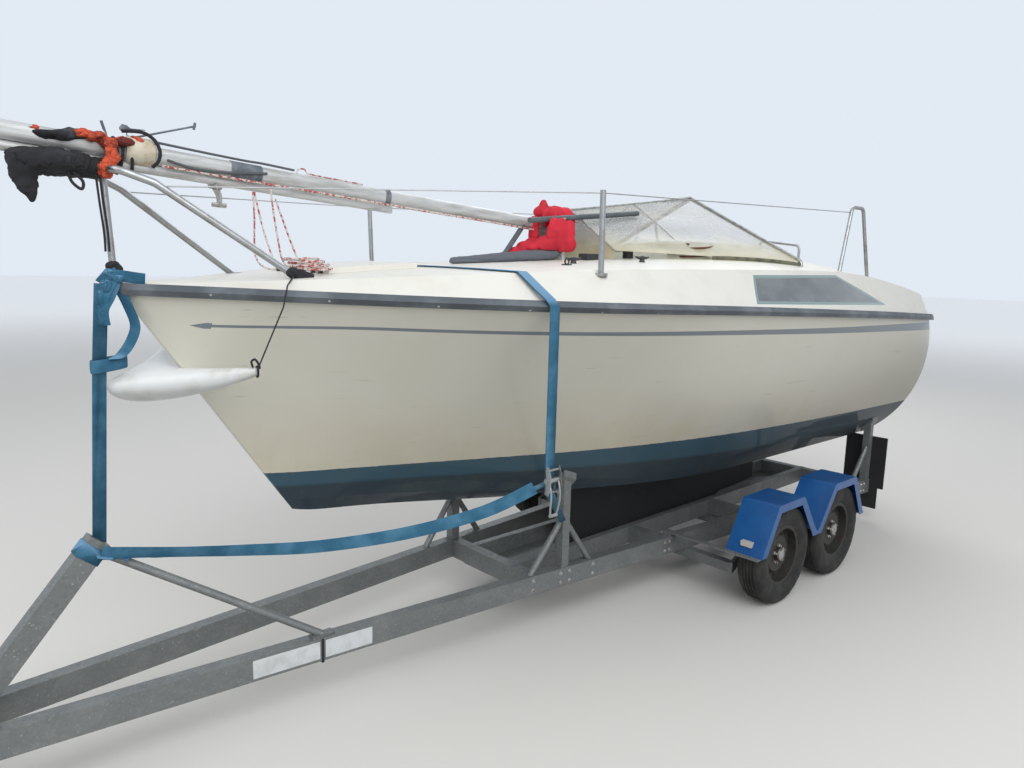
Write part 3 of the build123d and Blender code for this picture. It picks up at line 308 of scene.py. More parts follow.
# The stripe follows the sheer, a curve through three heights, and tapers towards the bow
first = (sheer_mid[1] - sheer_stern[1]) / (sheer_mid[0] - sheer_stern[0])
second = (sheer_bow[1] - sheer_mid[1]) / (sheer_bow[0] - sheer_mid[0])
bend = (second - first) / (sheer_bow[0] - sheer_stern[0])
aft = work("SUBTRACT", station, sheer_stern[0])
curve = work("MULTIPLY", work("MULTIPLY", aft, work("SUBTRACT", station, sheer_mid[0])), bend)
drop = work("SUBTRACT", work("ADD", work("MULTIPLY_ADD", aft, first, sheer_stern[1]), curve), height)
taper_start, head_start, head_tip, head_half = 2.8, 2.830, 2.890, 0.011
from_bow = work("SUBTRACT", taper_start, station)
centre = work("MULTIPLY_ADD", work("MULTIPLY_ADD", from_bow, -0.00342, 0.0086), from_bow, 0.104)
centre = work("ADD", centre, ramp(station, 2.35, 2.95, 0.0, 0.020))
half = work("MULTIPLY_ADD", work("MULTIPLY_ADD", from_bow, 0.00067, 0.0016), from_bow, 0.005)
tip = work("MINIMUM", work("MULTIPLY", work("SUBTRACT", head_tip, station), 0.27), head_half)
at_head = work("GREATER_THAN", station, head_start)
half = work("MULTIPLY_ADD", at_head, tip, work("MULTIPLY", half, work("SUBTRACT", 1.0, at_head)))
in_line = work("LESS_THAN", work("ABSOLUTE", work("SUBTRACT", drop, centre)), half)
stain = ramp(hull_look.noise(1.0, 4, 0.6, (5, 5, 1.1)), 0.30, 0.72, 0.30, 0.52)
stain = work("MULTIPLY", ramp(over, 0.0, 0.42, 1.0, 0.0), stain)
stern_shade = work("MULTIPLY", ramp(station, -2.3, 0.6, 1.0, 0.0), ramp(over, 0.0, 0.75, 0.80, 0.22))
scuffs = ramp(hull_look.noise(1.0, 3, 0.5, (4, 4, 55)), 0.68, 0.74, 0.0, 0.35)
body = hull_look.mix(ramp(hull_look.noise(2.3, 4, 0.6), 0.3, 0.75, 0.0, 0.28), cream, (0.69, 0.66, 0.54))
for mask, colour in (
    (stain, ochre), (stern_shade, (0.24, 0.225, 0.18)), (scuffs, (0.38, 0.37, 0.33)), (in_line, line_grey),
):
    body = hull_look.mix(mask, body, colour)
lower = ramp(work("SUBTRACT", over, work("MULTIPLY_ADD", station, 0.028, -0.135)), -0.012, 0.012, 1.0, 0.0)
paint = hull_look.mix(lower, teal, navy)
paint = hull_look.mix(ramp(hull_look.noise(5.5, 6, 0.7), 0.46, 0.72, 0.0, 0.35), paint, scum)
# Painted shade: the antifouling is darkened towards the stern, where the stern side lies in shade.
paint = hull_look.mix(ramp(station, -2.0, 1.2, 0.75, 0.0), paint, (0.010, 0.012, 0.014))
wet_edge = work("ADD", over, work("MULTIPLY_ADD", hull_look.noise(30, 2), 0.006, -0.003))
hull_look.colour(hull_look.mix(ramp(wet_edge, -0.001, 0.001), paint, body))
hull_look.rough(ramp(wet_edge, -0.001, 0.001, 0.72, 0.34))
grain(hull_look, 240, 2, 0.05, 0.001)
hull_look.bump(hull_look.noise(3.0, 2), 0.12, 0.01)  # the mould's long waves
dress(hull_look, "hull_shell")
smooth(35, "hull_shell")

# Stub keel: a cast iron fin bolted under the hull, in brown-grey bottom paint through which the
# rust weeps.
mottle_tree, given, gives, cloud = effect_group(
    "soft_patches", (
        ("Low", "NodeSocketFloat", 0.4), ("High", "NodeSocketFloat", 0.7),
        ("First", "NodeSocketColor", (0.5, 0.5, 0.5, 1)), ("Second", "NodeSocketColor", (0.3, 0.3, 0.3, 1)),
    ), "Color", "NodeSocketColor")
edge, blend = mottle_tree.nodes.new("ShaderNodeMapRange"), mottle_tree.nodes.new("ShaderNodeMix")
edge.interpolation_type = "SMOOTHSTEP"
blend.data_type = "RGBA"
for source, target in (
    (cloud, edge.inputs["Value"]), (given["Low"], edge.inputs["From Min"]), (given["High"], edge.inputs["From Max"]),
    (edge.outputs["Result"], blend.inputs["Factor"]), (given["First"], blend.inputs[6]),
    (given["Second"], blend.inputs[7]), (blend.outputs[2], gives["Color"]),
):
    mottle_tree.links.new(source, target)


def patches(look, first, second, scale, detail, low, high, rough=0.55, stretch=(1, 1, 1)):
    """The colour of a surface whose first colour gives way to the second in soft patches."""
    return place_effect(
        look, mottle_tree, "Color", Scale=scale, Detail=detail, Roughness=rough, Stretch=stretch,
        Low=low, High=high, First=first, Second=second)


def worn_look(name, colour, rough, grains=None, metal=0.0, **sockets):
    """A look of one colour, or of a row of values for patches, with a row of values for grain."""
    plain = len(colour) == 3
    look = Look(name, colour if plain else colour[0], rough, metal, **sockets)
    if not plain:
        look.colour(patches(look, *colour))
    if grains:
        grain(look, *grains)
    return look


keel_look = worn_look(
    "keel_paint", ((0.020, 0.020, 0.021), (0.055, 0.045, 0.035), 9, 6, 0.58, 0.74, 0.7), 0.8, (40, 5, 0.35, 0.003))
dress(keel_look, "stub_keel")
smooth(35, "stub_keel")

# Deck, cockpit, hatches and rudder: chalky cream gelcoat with a fine moulded grain. The deck
# moulding is bonded to the hull under the rub rail; under the hood it has yellowed.
deck_look = Look("deck_gelcoat", Coat_Weight=0.1)
under_hood = deck_look.sum("SUBTRACT", deck_look.axis("X"), axle_x)
hood_zone = deck_look.sum(
    "MULTIPLY", deck_look.ramp(under_hood, -0.36, -0.30), deck_look.ramp(under_hood, 0.76, 0.80, 1.0, 0.0))
hood_zone = deck_look.sum("MULTIPLY", hood_zone, deck_look.ramp(deck_look.axis("Z"), 1.885, 1.905, 0.0, 0.8))
grime = deck_look.ramp(deck_look.noise(4.0, 5, 0.65), 0.45, 0.8, 0.0, 0.4)
chalk = deck_look.mix(grime, (0.80, 0.79, 0.73), (0.62, 0.60, 0.51))
deck_look.colour(deck_look.mix(hood_zone, chalk, (0.74, 0.72, 0.50)))
deck_look.rough(deck_look.ramp(deck_look.noise(11, 3), 0.3, 0.7, 0.36, 0.55))
grain(deck_look, 420, 2, 0.10, 0.0008)
moulded = ("deck_moulding", "cockpit_tub", "sliding_hatch", "fore_hatch", "rudder")
dress(deck_look, *moulded)
smooth(35, *moulded)

# Rub rail: a dark blue-grey rubber extrusion screwed over the joint of hull and deck, greyed by
# the sun on top.
rail_look = worn_look(
    "rail_rubber", ((0.080, 0.094, 0.108), (0.15, 0.17, 0.19), 7, 5, 0.4, 0.7), 0.55, (160, 3, 0.2, 0.001))
dress(rail_look, "rub_rail")
smooth(35, "rub_rail")

# Side windows: long grey-tinted acrylic panes glued on the cabin's sides, with a green border painted round the inside
# of each. The lighter soft streaks over the tint are painted reflections.
pane_border = 0.012
pane_corners = ((0.515, 1.691), (0.368, 1.828), (-0.558, 1.833), (-1.190, 1.650))
pane_look = Look("tinted_pane", rough=0.12, Coat_Weight=0.6)
work = pane_look.sum
pane_x, pane_z = work("SUBTRACT", pane_look.axis("X"), axle_x), pane_look.axis("Z")
inside = 1.0
for (x1, z1), (x2, z2) in zip(pane_corners, pane_corners[1:] + pane_corners[:1]):
    long = math.hypot(x2 - x1, z2 - z1)
    nx, nz = (z2 - z1) / long, (x1 - x2) / long
    reach = work("MULTIPLY_ADD", pane_x, -nx, nx * x1 + nz * z1)
    inside = work("MINIMUM", inside, work("ABSOLUTE", work("MULTIPLY_ADD", pane_z, -nz, reach)))
# Grey tint with lighter streaky patches that are painted reflections.
tint_and_reflections = patches(pane_look, (0.035, 0.050, 0.056), (0.10, 0.125, 0.13), 1.0, 4, 0.35, 0.65, 0.6, (4, 4, 9))
at_border = pane_look.ramp(inside, pane_border, pane_border + 0.005, 1.0, 0.0)
pane_look.colour(pane_look.mix(at_border, tint_and_reflections, (0.15, 0.26, 0.25)))
grain(pane_look, 2.5, 2, 0.05, 0.002)
dress(pane_look, "side_windows")

# Washboard and tiller: varnished mahogany, the board dropped into its slot below the sliding
# hatch and the tiller bolted to the rudder's head.
wood_look = worn_look(
    "varnished_wood", ((0.34, 0.18, 0.075), (0.17, 0.075, 0.03), 14, 5, 0.3, 0.7, 0.6, (0.6, 8, 8)), 0.4,
    Coat_Weight=0.4)
dress(wood_look, "washboard", "tiller")

# Pulpit, stanchions, lifelines, the hood's hoop and the rudder's gudgeons: stainless tube, wire
# and fittings, welded or bolted through the deck, dulled by salt.
steel_look = worn_look("stainless", ((0.38, 0.39, 0.39), (0.27, 0.255, 0.23), 14, 4, 0.50, 0.75), 0.34, metal=1.0)
steel_look.rough(steel_look.ramp(steel_look.noise(9, 3), 0.3, 0.7, 0.28, 0.42))
steel_parts = ("pulpit", "stanchions", "lifelines", "hood_hoop", "gudgeons")
dress(steel_look, *steel_parts)
smooth(40, *steel_parts)


# Deck gear: black plastic winches and cam cleats, and beside them horn cleats and an eye plate
# screwed to the roof, with ribbed caps on the winch drums.
def roof(station, side):
    """Height of the deck moulding's top at a station, beside the middle by so much."""
    hit, place, _, _ = nodes["deck_moulding"].ray_cast((at(station), side, 3.0), (0, 0, -1))
    return place.z if hit else 1.85


def spots(*rows):
    """Points from rows of station, side and height."""
    return [Vector((at(x), y, z)) for x, y, z in rows]


def from_bmesh(name, mesh_data):
    """An object from a bmesh, which is freed."""
    bmesh.ops.recalc_face_normals(mesh_data, faces=mesh_data.faces)
    mesh = bpy.data.meshes.new(name)
    mesh_data.to_mesh(mesh)
    mesh_data.free()
    return bpy.data.objects.new(name, mesh)


def tube_into(mesh_data, points, radii, sides=12, flat=1.0, lean=None):
    """A closed tube along points; flat squeezes it across, lean fixes the way it faces."""
    points = [Vector(p) for p in points]
    radii = radii if hasattr(radii, "__len__") else [radii] * len(points)
    side = None
    rings = []
    for index, point in enumerate(points):
        before, after = points[max(index - 1, 0)], points[min(index + 1, len(points) - 1)]
        along = (after - before).normalized()
        if lean is not None:
            side = Vector(lean[index] if hasattr(lean[0], "__len__") else lean)
        elif side is None:
            side = along.orthogonal()
        side = (side - along * side.dot(along)).normalized()
        over = along.cross(side)
        ring = []
        for step in range(sides):
            turn = 2 * math.pi * step / sides
            offset = side * math.cos(turn) + over * math.sin(turn) * flat
            ring.append(mesh_data.verts.new(point + offset * radii[index]))
        rings.append(ring)
    for ring, following in zip(rings, rings[1:]):
        for step in range(sides):
            after = (step + 1) % sides
            mesh_data.faces.new((ring[step], ring[after], following[after], following[step]))
    mesh_data.faces.new(list(reversed(rings[0])))
    mesh_data.faces.new(rings[-1])


def finish_piece(piece, look, body, angle=40):
    """Dress, shade and mount a new piece."""
    piece.data.materials.clear()
    piece.data.materials.append(look.material)
    if piece.type == "MESH":
        for face in piece.data.polygons:
            face.use_smooth = True
        piece.data.set_sharp_from_angle(angle=math.radians(angle))
    if piece.name not in bpy.context.scene.collection.objects:
        bpy.context.scene.collection.objects.link(piece)
    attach(piece, body)
    return piece


gear_look = worn_look("deck_black", (0.03, 0.032, 0.034), 0.5, (90, 3, 0.15, 0.001))
dress(gear_look, "deck_gear")
gear = bmesh.new()
for station, side in ((1.20, 0.42), (0.78, 0.50), (0.92, -0.42)):
    base = roof(station, side)
    tube_into(gear, spots((station, side, base - 0.002), (station, side, base + 0.022)), [0.016, 0.010])
    horn = [(-0.052, 0.026), (-0.03, 0.021), (0, 0.023), (0.03, 0.021), (0.052, 0.026)]
    tube_into(gear, spots(*[(station + x, side, base + z) for x, z in horn]), [0.004, 0.007, 0.009, 0.007, 0.004], 10)
station, side = 1.33, 0.50
base = roof(station, side)
tube_into(gear, spots((station, side, base - 0.001), (station, side, base + 0.005)), 0.024, 16)
ring_turns = [2 * math.pi * k / 12 for k in range(13)]
ring = [(at(station) + 0.013 * math.cos(t), side, base + 0.016 + 0.013 * math.sin(t)) for t in ring_turns]
tube_into(gear, ring, 0.004, 8)
for side in (0.27, -0.27):
    drum_rings = spots((0.61, side, 1.960), (0.61, side, 1.970), (0.61, side, 1.976))
    tube_into(gear, drum_rings, [0.031, 0.033, 0.024], 20)
finish_piece(from_bmesh("deck_fittings", gear), gear_look, "root")

# Mast, boom, mast step and hatch runners: anodised alloy extrusions dulled to cream. The mast is
# pinned in its step and lowered forward over the pulpit, with the boom lashed under it.
mast_foot_station, mast_pitch = 0.96, math.radians(4.26)
mast_foot = Vector((at(mast_foot_station), 0, 2.055))
mast_along = Vector((math.cos(mast_pitch), 0, math.sin(mast_pitch)))
mast_up = Vector((-math.sin(mast_pitch), 0, math.cos(mast_pitch)))


def on_mast(station, side=0.0, up=0.0):
    """A point beside the mast's middle line at a station."""
    along = (station - mast_foot_station) / math.cos(mast_pitch)
    return mast_foot + mast_along * along + Vector((0, side, 0)) + mast_up * up


def curve_through(points, steps=8):
    """Points along a smooth line through the given ones."""
    points = [Vector(p) for p in points]
    run = []
    for index in range(len(points) - 1):
        a = points[max(index - 1, 0)]
        b, c = points[index], points[index + 1]
        d = points[min(index + 2, len(points) - 1)]
        for step in range(steps):
            t = step / steps
            square, cube = (2 * a - 5 * b + 4 * c - d) * t * t, (3 * b - a - 3 * c + d) * t ** 3
            run.append(0.5 * ((2 * b) + (c - a) * t + square + cube))
    return run + [points[-1]]


spar_look = worn_look(
    "spar_alloy", ((0.60, 0.61, 0.61), (0.42, 0.42, 0.40), 6, 5, 0.4, 0.7, 0.6, (1, 6, 6)), 0.42,
    (90, 3, 0.12, 0.0008), metal=0.35)
dress(spar_look, "mast", "boom", "mast_step", "hatch_runners")
smooth(40, "mast", "boom")

# Mast fittings: a dark band by the boom's end and a taped wrap, both wound on, and the spreader's
# alloy bracket bolted under the mast.
tape_look = worn_look(
    "dark_tape", ((0.11, 0.13, 0.16), (0.20, 0.22, 0.25), 30, 4, 0.4, 0.7), 0.6, (60, 3, 0.2, 0.001))
fittings = bmesh.new()
for start, end, grow in ((1.962, 1.990, 0.0035), (2.552, 2.678, 0.0025)):
    band = [on_mast(start), on_mast(start + 0.002), on_mast(end - 0.002), on_mast(end)]
    tube_into(fittings, band, [0.026, 0.032 + grow, 0.032 + grow, 0.026], 28, 0.82, (0, 0, 1))
finish_piece(from_bmesh("mast_bands", fittings), tape_look, "mast")
nut_look = worn_look(
    "zinc_bolt", ((0.44, 0.44, 0.43), (0.24, 0.15, 0.09), 50, 4, 0.5, 0.7), 0.45, (200, 2, 0.15, 0.0005), metal=0.8)
bracket = bmesh.new()
for side in (1, -1):
    arm = ((2.735, side * 0.020, -0.062), (2.712, side * 0.012, -0.100), (2.708, side * 0.008, -0.135))
    tube_into(bracket, curve_through([on_mast(*p) for p in arm]), 0.0065, 10)
tube_into(bracket, [on_mast(2.745, -0.01, -0.064), on_mast(2.700, -0.01, -0.064)], 0.016, 10)
tube_into(bracket, [on_mast(2.735, 0, -0.138), on_mast(2.682, 0, -0.136)], 0.010, 12, 0.7)
finish_piece(from_bmesh("mast_bracket", bracket), nut_look, "mast")

# Ropes along the spar: two dark braided lines on top and beside it, and a red-flecked halyard
# stretched under it with its end hooked over the top, all made fast to the mast.
grey_rope_look = worn_look("grey_rope", (0.10, 0.11, 0.12), 0.85, (240, 2, 0.5, 0.001))
lines = bmesh.new()
top_rope = (
    (2.955, 0.012, 0.047), (2.85, 0.016, 0.044), (2.75, 0.010, 0.043), (2.62, 0.015, 0.041), (2.55, 0.012, 0.043),
    (2.42, 0.014, 0.040),
)
side_rope = (
    (2.91, 0.030, -0.010), (2.82, 0.034, -0.024), (2.72, 0.034, -0.020), (2.60, 0.033, -0.004), (2.54, 0.031, 0.006),
)
tube_into(lines, curve_through([on_mast(*p) for p in top_rope]), 0.0045, 8)
tube_into(lines, curve_through([on_mast(*p) for p in side_rope]), 0.005, 8)
finish_piece(from_bmesh("dark_spar_lines", lines), grey_rope_look, "mast")
fleck_look = worn_look(
    "flecked_rope", ((0.66, 0.60, 0.57), (0.42, 0.10, 0.09), 75, 2, 0.50, 0.56, 0.5), 0.85, (240, 2, 0.5, 0.001))
halyard = bmesh.new()
halyard_points = (
    (2.93, 0.030, -0.033), (2.7, 0.031, -0.034), (2.4, 0.030, -0.033), (2.0, 0.032, -0.034), (1.7, 0.029, -0.034),
    (1.4, 0.031, -0.033), (1.08, 0.029, -0.034),
)
hook = (
    (2.40, 0.0, 0.034), (2.395, 0.0, 0.050), (2.37, 0.0, 0.054), (2.36, 0.0, 0.044), (2.33, 0.004, 0.037),
    (2.10, 0.006, 0.036),
)
tube_into(halyard, curve_through([on_mast(*p) for p in halyard_points]), 0.0045, 8)
tube_into(halyard, curve_through([on_mast(*p) for p in hook]), 0.0032, 8)
finish_piece(from_bmesh("spar_halyard", halyard), fleck_look, "mast")

# Furling drum: a cream plastic drum on the mast by the pulpit, stained by rust, with a dark hose
# bent round its end.
drum_look = worn_look(
    "cream_drum", ((0.68, 0.64, 0.52), (0.45, 0.36, 0.22), 14, 4, 0.45, 0.7), 0.45, (60, 3, 0.1, 0.001))
drum = bmesh.new()
profile = [(2.952, 0.046), (2.956, 0.050), (3.035, 0.050), (3.040, 0.046), (3.046, 0.041)]
tube_into(drum, [on_mast(s, 0, 0.004) for s, _ in profile], [r for _, r in profile], 32)
finish_piece(from_bmesh("furling_drum", drum), drum_look, "mast")
black_rope_look = worn_look("black_rope", (0.018, 0.018, 0.022), 0.85, (220, 2, 0.6, 0.001))
hose = bmesh.new()
hose_points = (
    (3.06, 0.02, 0.062), (3.00, 0.035, 0.068), (2.962, 0.044, 0.050), (2.945, 0.056, 0.015), (2.947, 0.055, -0.020),
    (2.965, 0.045, -0.046),
)
tube_into(hose, curve_through([on_mast(*p) for p in hose_points]), 0.0062, 10)
finish_piece(from_bmesh("drum_hose", hose), black_rope_look, "mast")

# Wind vane and aerial: thin dark rods with a small plastic vane, clamped to the drum's mount and
# standing above it.
vane = bmesh.new()
tube_into(vane, spots((3.005, 0, 2.240), (3.002, 0, 2.262), (2.985, 0, 2.266), (2.795, 0, 2.325)), 0.0035, 8)
tube_into(vane, spots((2.803, 0, 2.312), (2.797, 0, 2.336)), 0.005, 8)
tube_into(vane, spots((3.050, 0, 2.286), (2.972, 0, 2.288)), 0.0016, 6)
blade = spots((3.056, 0, 2.283), (3.045, 0, 2.285), (3.030, 0, 2.285), (3.020, 0, 2.286))
tube_into(vane, blade, [0.004, 0.015, 0.012, 0.003], 12, 0.35, (0, 0, 1))
tube_into(vane, spots((3.030, 0, 2.240), (3.034, 0, 2.283)), 0.0018, 6)
aerial = spots((3.092, 0, 2.238), (3.098, 0, 2.262), (3.104, 0, 2.275), (3.112, 0, 2.302))
tube_into(vane, aerial, [0.002, 0.002, 0.005, 0.005], 8)
finish_piece(from_bmesh("vane_and_aerial", vane), tape_look, "mast")


# Cloth bundle: black cloth stuffed round the boom and over the mast ahead of the pulpit, tied on
# with one pointed corner hanging down.
def soft_mass(name, rows, voxel, fold, scale, stretch=(1, 1, 1), seed=0, melt=6):
    """A soft closed mass: overlapping lumps joined by a remesh and wrinkled along their normals."""
    lumps = bmesh.new()
    for x, y, z, rx, ry, rz in rows:
        place = Matrix.Translation((at(x), y, z)) @ Matrix.Diagonal((rx, ry, rz, 1))
        bmesh.ops.create_icosphere(lumps, subdivisions=3, radius=1, matrix=place)
    piece = from_bmesh(name, lumps)
    bpy.context.scene.collection.objects.link(piece)
    join = piece.modifiers.new("join", "REMESH")
    join.mode = "VOXEL"
    join.voxel_size = voxel
    even = piece.modifiers.new("even", "SMOOTH")
    even.iterations = melt
    graph = bpy.context.evaluated_depsgraph_get()
    mesh = bpy.data.meshes.new_from_object(piece.evaluated_get(graph))
    piece.modifiers.clear()
    piece.data = mesh
    mesh.name = name
    start = Vector((seed, seed * 2.3, seed * 0.7))
    for vertex in mesh.vertices:
        spot = Vector(c * s for c, s in zip(vertex.co, stretch)) * scale + start
        broad = 1 - min(1, 2.2 * abs(noise.noise(spot)))
        fine = 1 - min(1, 2.4 * abs(noise.noise(spot * 2.1 + Vector((5, 1, 3)))))
        vertex.co += vertex.normal * fold * (broad * 0.85 + fine * 0.15 - 0.30)
    eased = bmesh.new()
    eased.from_mesh(mesh)
    for _ in range(2):
        bmesh.ops.smooth_vert(eased, verts=eased.verts, factor=0.5, use_axis_x=True, use_axis_y=True, use_axis_z=True)
    eased.to_mesh(mesh)
    eased.free()
    return piece


black_look = worn_look("black_cloth", ((0.018, 0.018, 0.022), (0.05, 0.052, 0.06), 9, 3, 0.50, 0.75), 0.9)
bundle_rows = (
    (3.330, 0.015, 2.150, 0.066, 0.074, 0.042), (3.270, 0.030, 2.150, 0.072, 0.078, 0.040),
    (3.215, 0.020, 2.148, 0.066, 0.066, 0.036), (3.160, 0.010, 2.142, 0.056, 0.056, 0.030),
    (3.115, 0.000, 2.150, 0.044, 0.046, 0.026), (3.358, 0.036, 2.115, 0.040, 0.034, 0.048),
    (3.352, 0.044, 2.078, 0.026, 0.024, 0.046), (3.342, 0.050, 2.046, 0.014, 0.012, 0.036),
    (3.285, 0.000, 2.238, 0.045, 0.045, 0.015), (3.240, 0.010, 2.236, 0.040, 0.050, 0.015),
    (3.190, 0.000, 2.245, 0.050, 0.045, 0.014),
)
bundle = soft_mass("cloth_bundle", bundle_rows, 0.005, 0.024, 10, (0.5, 1.2, 1.1), 3, 12)
finish_piece(bundle, black_look, "mast", 180)
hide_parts("sail_bundle")

# Orange netting: a faded knotted net thrown over the mast at the pulpit's bar, its end hanging
# beside the upright.
net_look = worn_look("orange_net", ((0.66, 0.10, 0.045), (0.16, 0.03, 0.025), 16, 4, 0.42, 0.62), 0.85)
net_look.bump(net_look.cells(95).outputs["Distance"], 0.9, 0.006)
netting_rows = (
    (3.180, 0.020, 2.248, 0.036, 0.032, 0.012), (3.140, 0.030, 2.243, 0.036, 0.036, 0.014),
    (3.105, 0.040, 2.222, 0.026, 0.036, 0.020), (3.100, 0.062, 2.180, 0.020, 0.018, 0.036),
    (3.125, 0.060, 2.140, 0.024, 0.020, 0.030), (3.050, 0.020, 2.236, 0.040, 0.040, 0.014),
    (3.010, 0.010, 2.246, 0.028, 0.032, 0.011), (3.320, 0.010, 2.250, 0.022, 0.020, 0.009),
)
netting = soft_mass("orange_netting", netting_rows, 0.004, 0.020, 24, (1, 1, 1), 8)
finish_piece(netting, net_look, "mast", 180)

# Black lashings: thin cord wound round mast and boom by the pulpit, a small loop of it, and the
# tied-off end that hangs beside the pulpit's upright.
lashings = bmesh.new()
for station, radius, tilt in ((3.075, 0.058, 0.10), (3.060, 0.060, -0.08), (3.030, 0.052, 0.16)):
    loop = []
    for step in range(25):
        turn = 2 * math.pi * step / 24
        round_it = (radius * 0.72 * math.cos(turn), -0.020 + radius * math.sin(turn))
        loop.append(on_mast(station + tilt * radius * math.sin(turn), *round_it))
    tube_into(lashings, loop, 0.0055, 8)
for offset in (0.0, 0.012):
    hang = ((3.140, 0.050, 2.130), (3.134, 0.055, 2.03), (3.124, 0.050, 1.93), (3.122, 0.047, 1.865))
    tube_into(lashings, curve_through(spots(*[(x + offset, y, z) for x, y, z in hang])), 0.0038, 8)
loop = spots((3.225, 0.07, 2.12), (3.20, 0.085, 2.09), (3.205, 0.085, 2.065), (3.23, 0.08, 2.085), (3.24, 0.07, 2.12))
tube_into(lashings, curve_through(loop), 0.005, 8)
finish_piece(from_bmesh("black_lashings", lashings), black_rope_look, "mast")

# Red cloth on the mast's heel: bright cotton wound round the heel and lying over its top, with one
# corner standing up.
red_look = worn_look(
    "red_cloth", ((0.68, 0.024, 0.048), (0.50, 0.014, 0.032), 9, 3, 0.4, 0.7), 0.8, (10, 3, 0.25, 0.008))
rag_rows = (
    (1.030, 0.020, 2.122, 0.034, 0.048, 0.030), (1.024, 0.030, 2.158, 0.015, 0.022, 0.030),
    (0.985, 0.020, 2.126, 0.055, 0.048, 0.030), (0.925, 0.020, 2.128, 0.060, 0.048, 0.030),
    (0.865, 0.022, 2.128, 0.050, 0.046, 0.028), (1.030, 0.066, 2.090, 0.036, 0.016, 0.050),
    (0.980, 0.068, 2.080, 0.055, 0.016, 0.056), (0.915, 0.068, 2.082, 0.060, 0.016, 0.054),
    (0.860, 0.066, 2.090, 0.042, 0.016, 0.046), (1.070, 0.010, 2.060, 0.022, 0.044, 0.040),
    (1.075, 0.020, 2.010, 0.022, 0.036, 0.040),
)
rag = soft_mass("red_heel_cloth", rag_rows, 0.005, 0.016, 11, (1.3, 1, 0.45), 5, 14)
finish_piece(rag, red_look, "mast", 180)
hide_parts("heel_rag")

# Red cloth on the roof: the rest of the same cloth, heaped beside the step and spread forward over
# the roof behind the rolled cover.
heap_rows = (
    (1.095, 0.040, 1.955, 0.040, 0.060, 0.034), (1.140, 0.035, 1.938, 0.055, 0.055, 0.032),
    (1.200, 0.025, 1.915, 0.060, 0.048, 0.022), (1.270, 0.015, 1.897, 0.055, 0.042, 0.014),
    (1.070, 0.090, 1.960, 0.045, 0.036, 0.038), (1.030, 0.118, 1.960, 0.050, 0.026, 0.038),
    (0.980, 0.124, 1.965, 0.055, 0.026, 0.042), (0.925, 0.124, 1.965, 0.052, 0.026, 0.044),
    (1.040, 0.122, 2.015, 0.046, 0.018, 0.052), (0.985, 0.128, 2.020, 0.052, 0.017, 0.055),
    (0.925, 0.127, 2.020, 0.050, 0.016, 0.055), (1.035, 0.122, 2.058, 0.036, 0.014, 0.036),
    (0.975, 0.124, 2.060, 0.046, 0.013, 0.036), (0.915, 0.122, 2.055, 0.042, 0.013, 0.036),
)
heap = soft_mass("red_roof_cloth", heap_rows, 0.005, 0.014, 11, (1.1, 1, 0.5), 9, 14)
finish_piece(heap, red_look, "root", 180)

# Deck pole and crutch strut: dark painted alloy tubes, the pole laid across the mast's step and
# the strut standing on the roof on a small foot, under the boom.
pole_look = worn_look(
    "dark_tube", ((0.085, 0.105, 0.118), (0.13, 0.15, 0.16), 14, 4, 0.4, 0.7), 0.6, (120, 3, 0.2, 0.001))
dress(pole_look, "deck_pole")
strut = bmesh.new()
tube_into(strut, spots((1.325, 0.04, 1.868), (1.318, 0.04, 1.880), (1.150, 0.014, 2.051)), [0.020, 0.013, 0.013], 14)
finish_piece(from_bmesh("crutch_strut", strut), pole_look, "root")

# Rolled cover: a dark coated cloth rolled up and laid along the cabin top, thicker aft, with long
# folds where it was rolled.
cover_look = worn_look("dark_cover", (0.13, 0.145, 0.17), 0.85, (16, 4, 0.5, 0.01, 0.6, (1, 2, 3)))
roll_start, roll_end = spots((1.640, 0.040, 1.861), (0.985, 0.097, 1.900))
roll_rings, thin_end = 70, 0.017
roll_mesh = bmesh.new()
roll_path, roll_radii = [], []
for step in range(roll_rings + 1):
    part = step / roll_rings
    size = thin_end + 0.009 * min(1, part * 1.3)
    if step in (0, roll_rings):
        size *= 0.55
    sway = Vector((0, 0.004 * math.sin(part * 9), size - thin_end))
    roll_path.append(roll_start.lerp(roll_end, part) + sway)
    roll_radii.append(size)
tube_into(roll_mesh, roll_path, roll_radii, 30)
for vertex in roll_mesh.verts:
    part = (vertex.co.x - roll_start.x) / (roll_end.x - roll_start.x)
    core = roll_start.lerp(roll_end, part)
    around = math.atan2(vertex.co.y - core.y, vertex.co.z - core.z)
    crease = 1 - min(1, 3 * abs(noise.noise(Vector((part * 3.0 + around * 0.25, around * 1.6, 3.0)))))
    tuck = noise.noise(Vector((part * 14, around * 1.2, 7.0)))
    vertex.co += (vertex.co - core).normalized() * (0.0035 * crease + 0.0025 * tuck - 0.0015)
cover = finish_piece(from_bmesh("cover_roll", roll_mesh), cover_look, "root", 180)
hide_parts("rolled_cover")


# Falling ropes and deck coil: thin braided rope, white flecked with red. Four ends fall from the
# spar to the foredeck, and one longer piece lies there in a loose coil.
def free_cord(name, points, diameter, look, body):
    """A free rope on a smooth spline whose control points are given in stations."""
    line = bpy.data.curves.new(name, "CURVE")
    line.dimensions = "3D"
    spline = line.splines.new("NURBS")
    spline.points.add(len(points) - 1)
    for point, (x, y, z) in zip(spline.points, points):
        point.co = (at(x), y, z, 1)
    spline.order_u = 3
    spline.use_endpoint_u = True
    spline.resolution_u = 8
    piece = bpy.data.objects.new(name, line)
    bpy.context.scene.collection.objects.link(piece)
    graph = bpy.context.evaluated_depsgraph_get()
    route = bpy.data.meshes.new_from_object(piece.evaluated_get(graph))
    bpy.data.meshes.remove(route)
    line.bevel_depth = diameter / 2
    line.bevel_resolution = 3
    line.use_fill_caps = True
    finish_piece(piece, look, body)


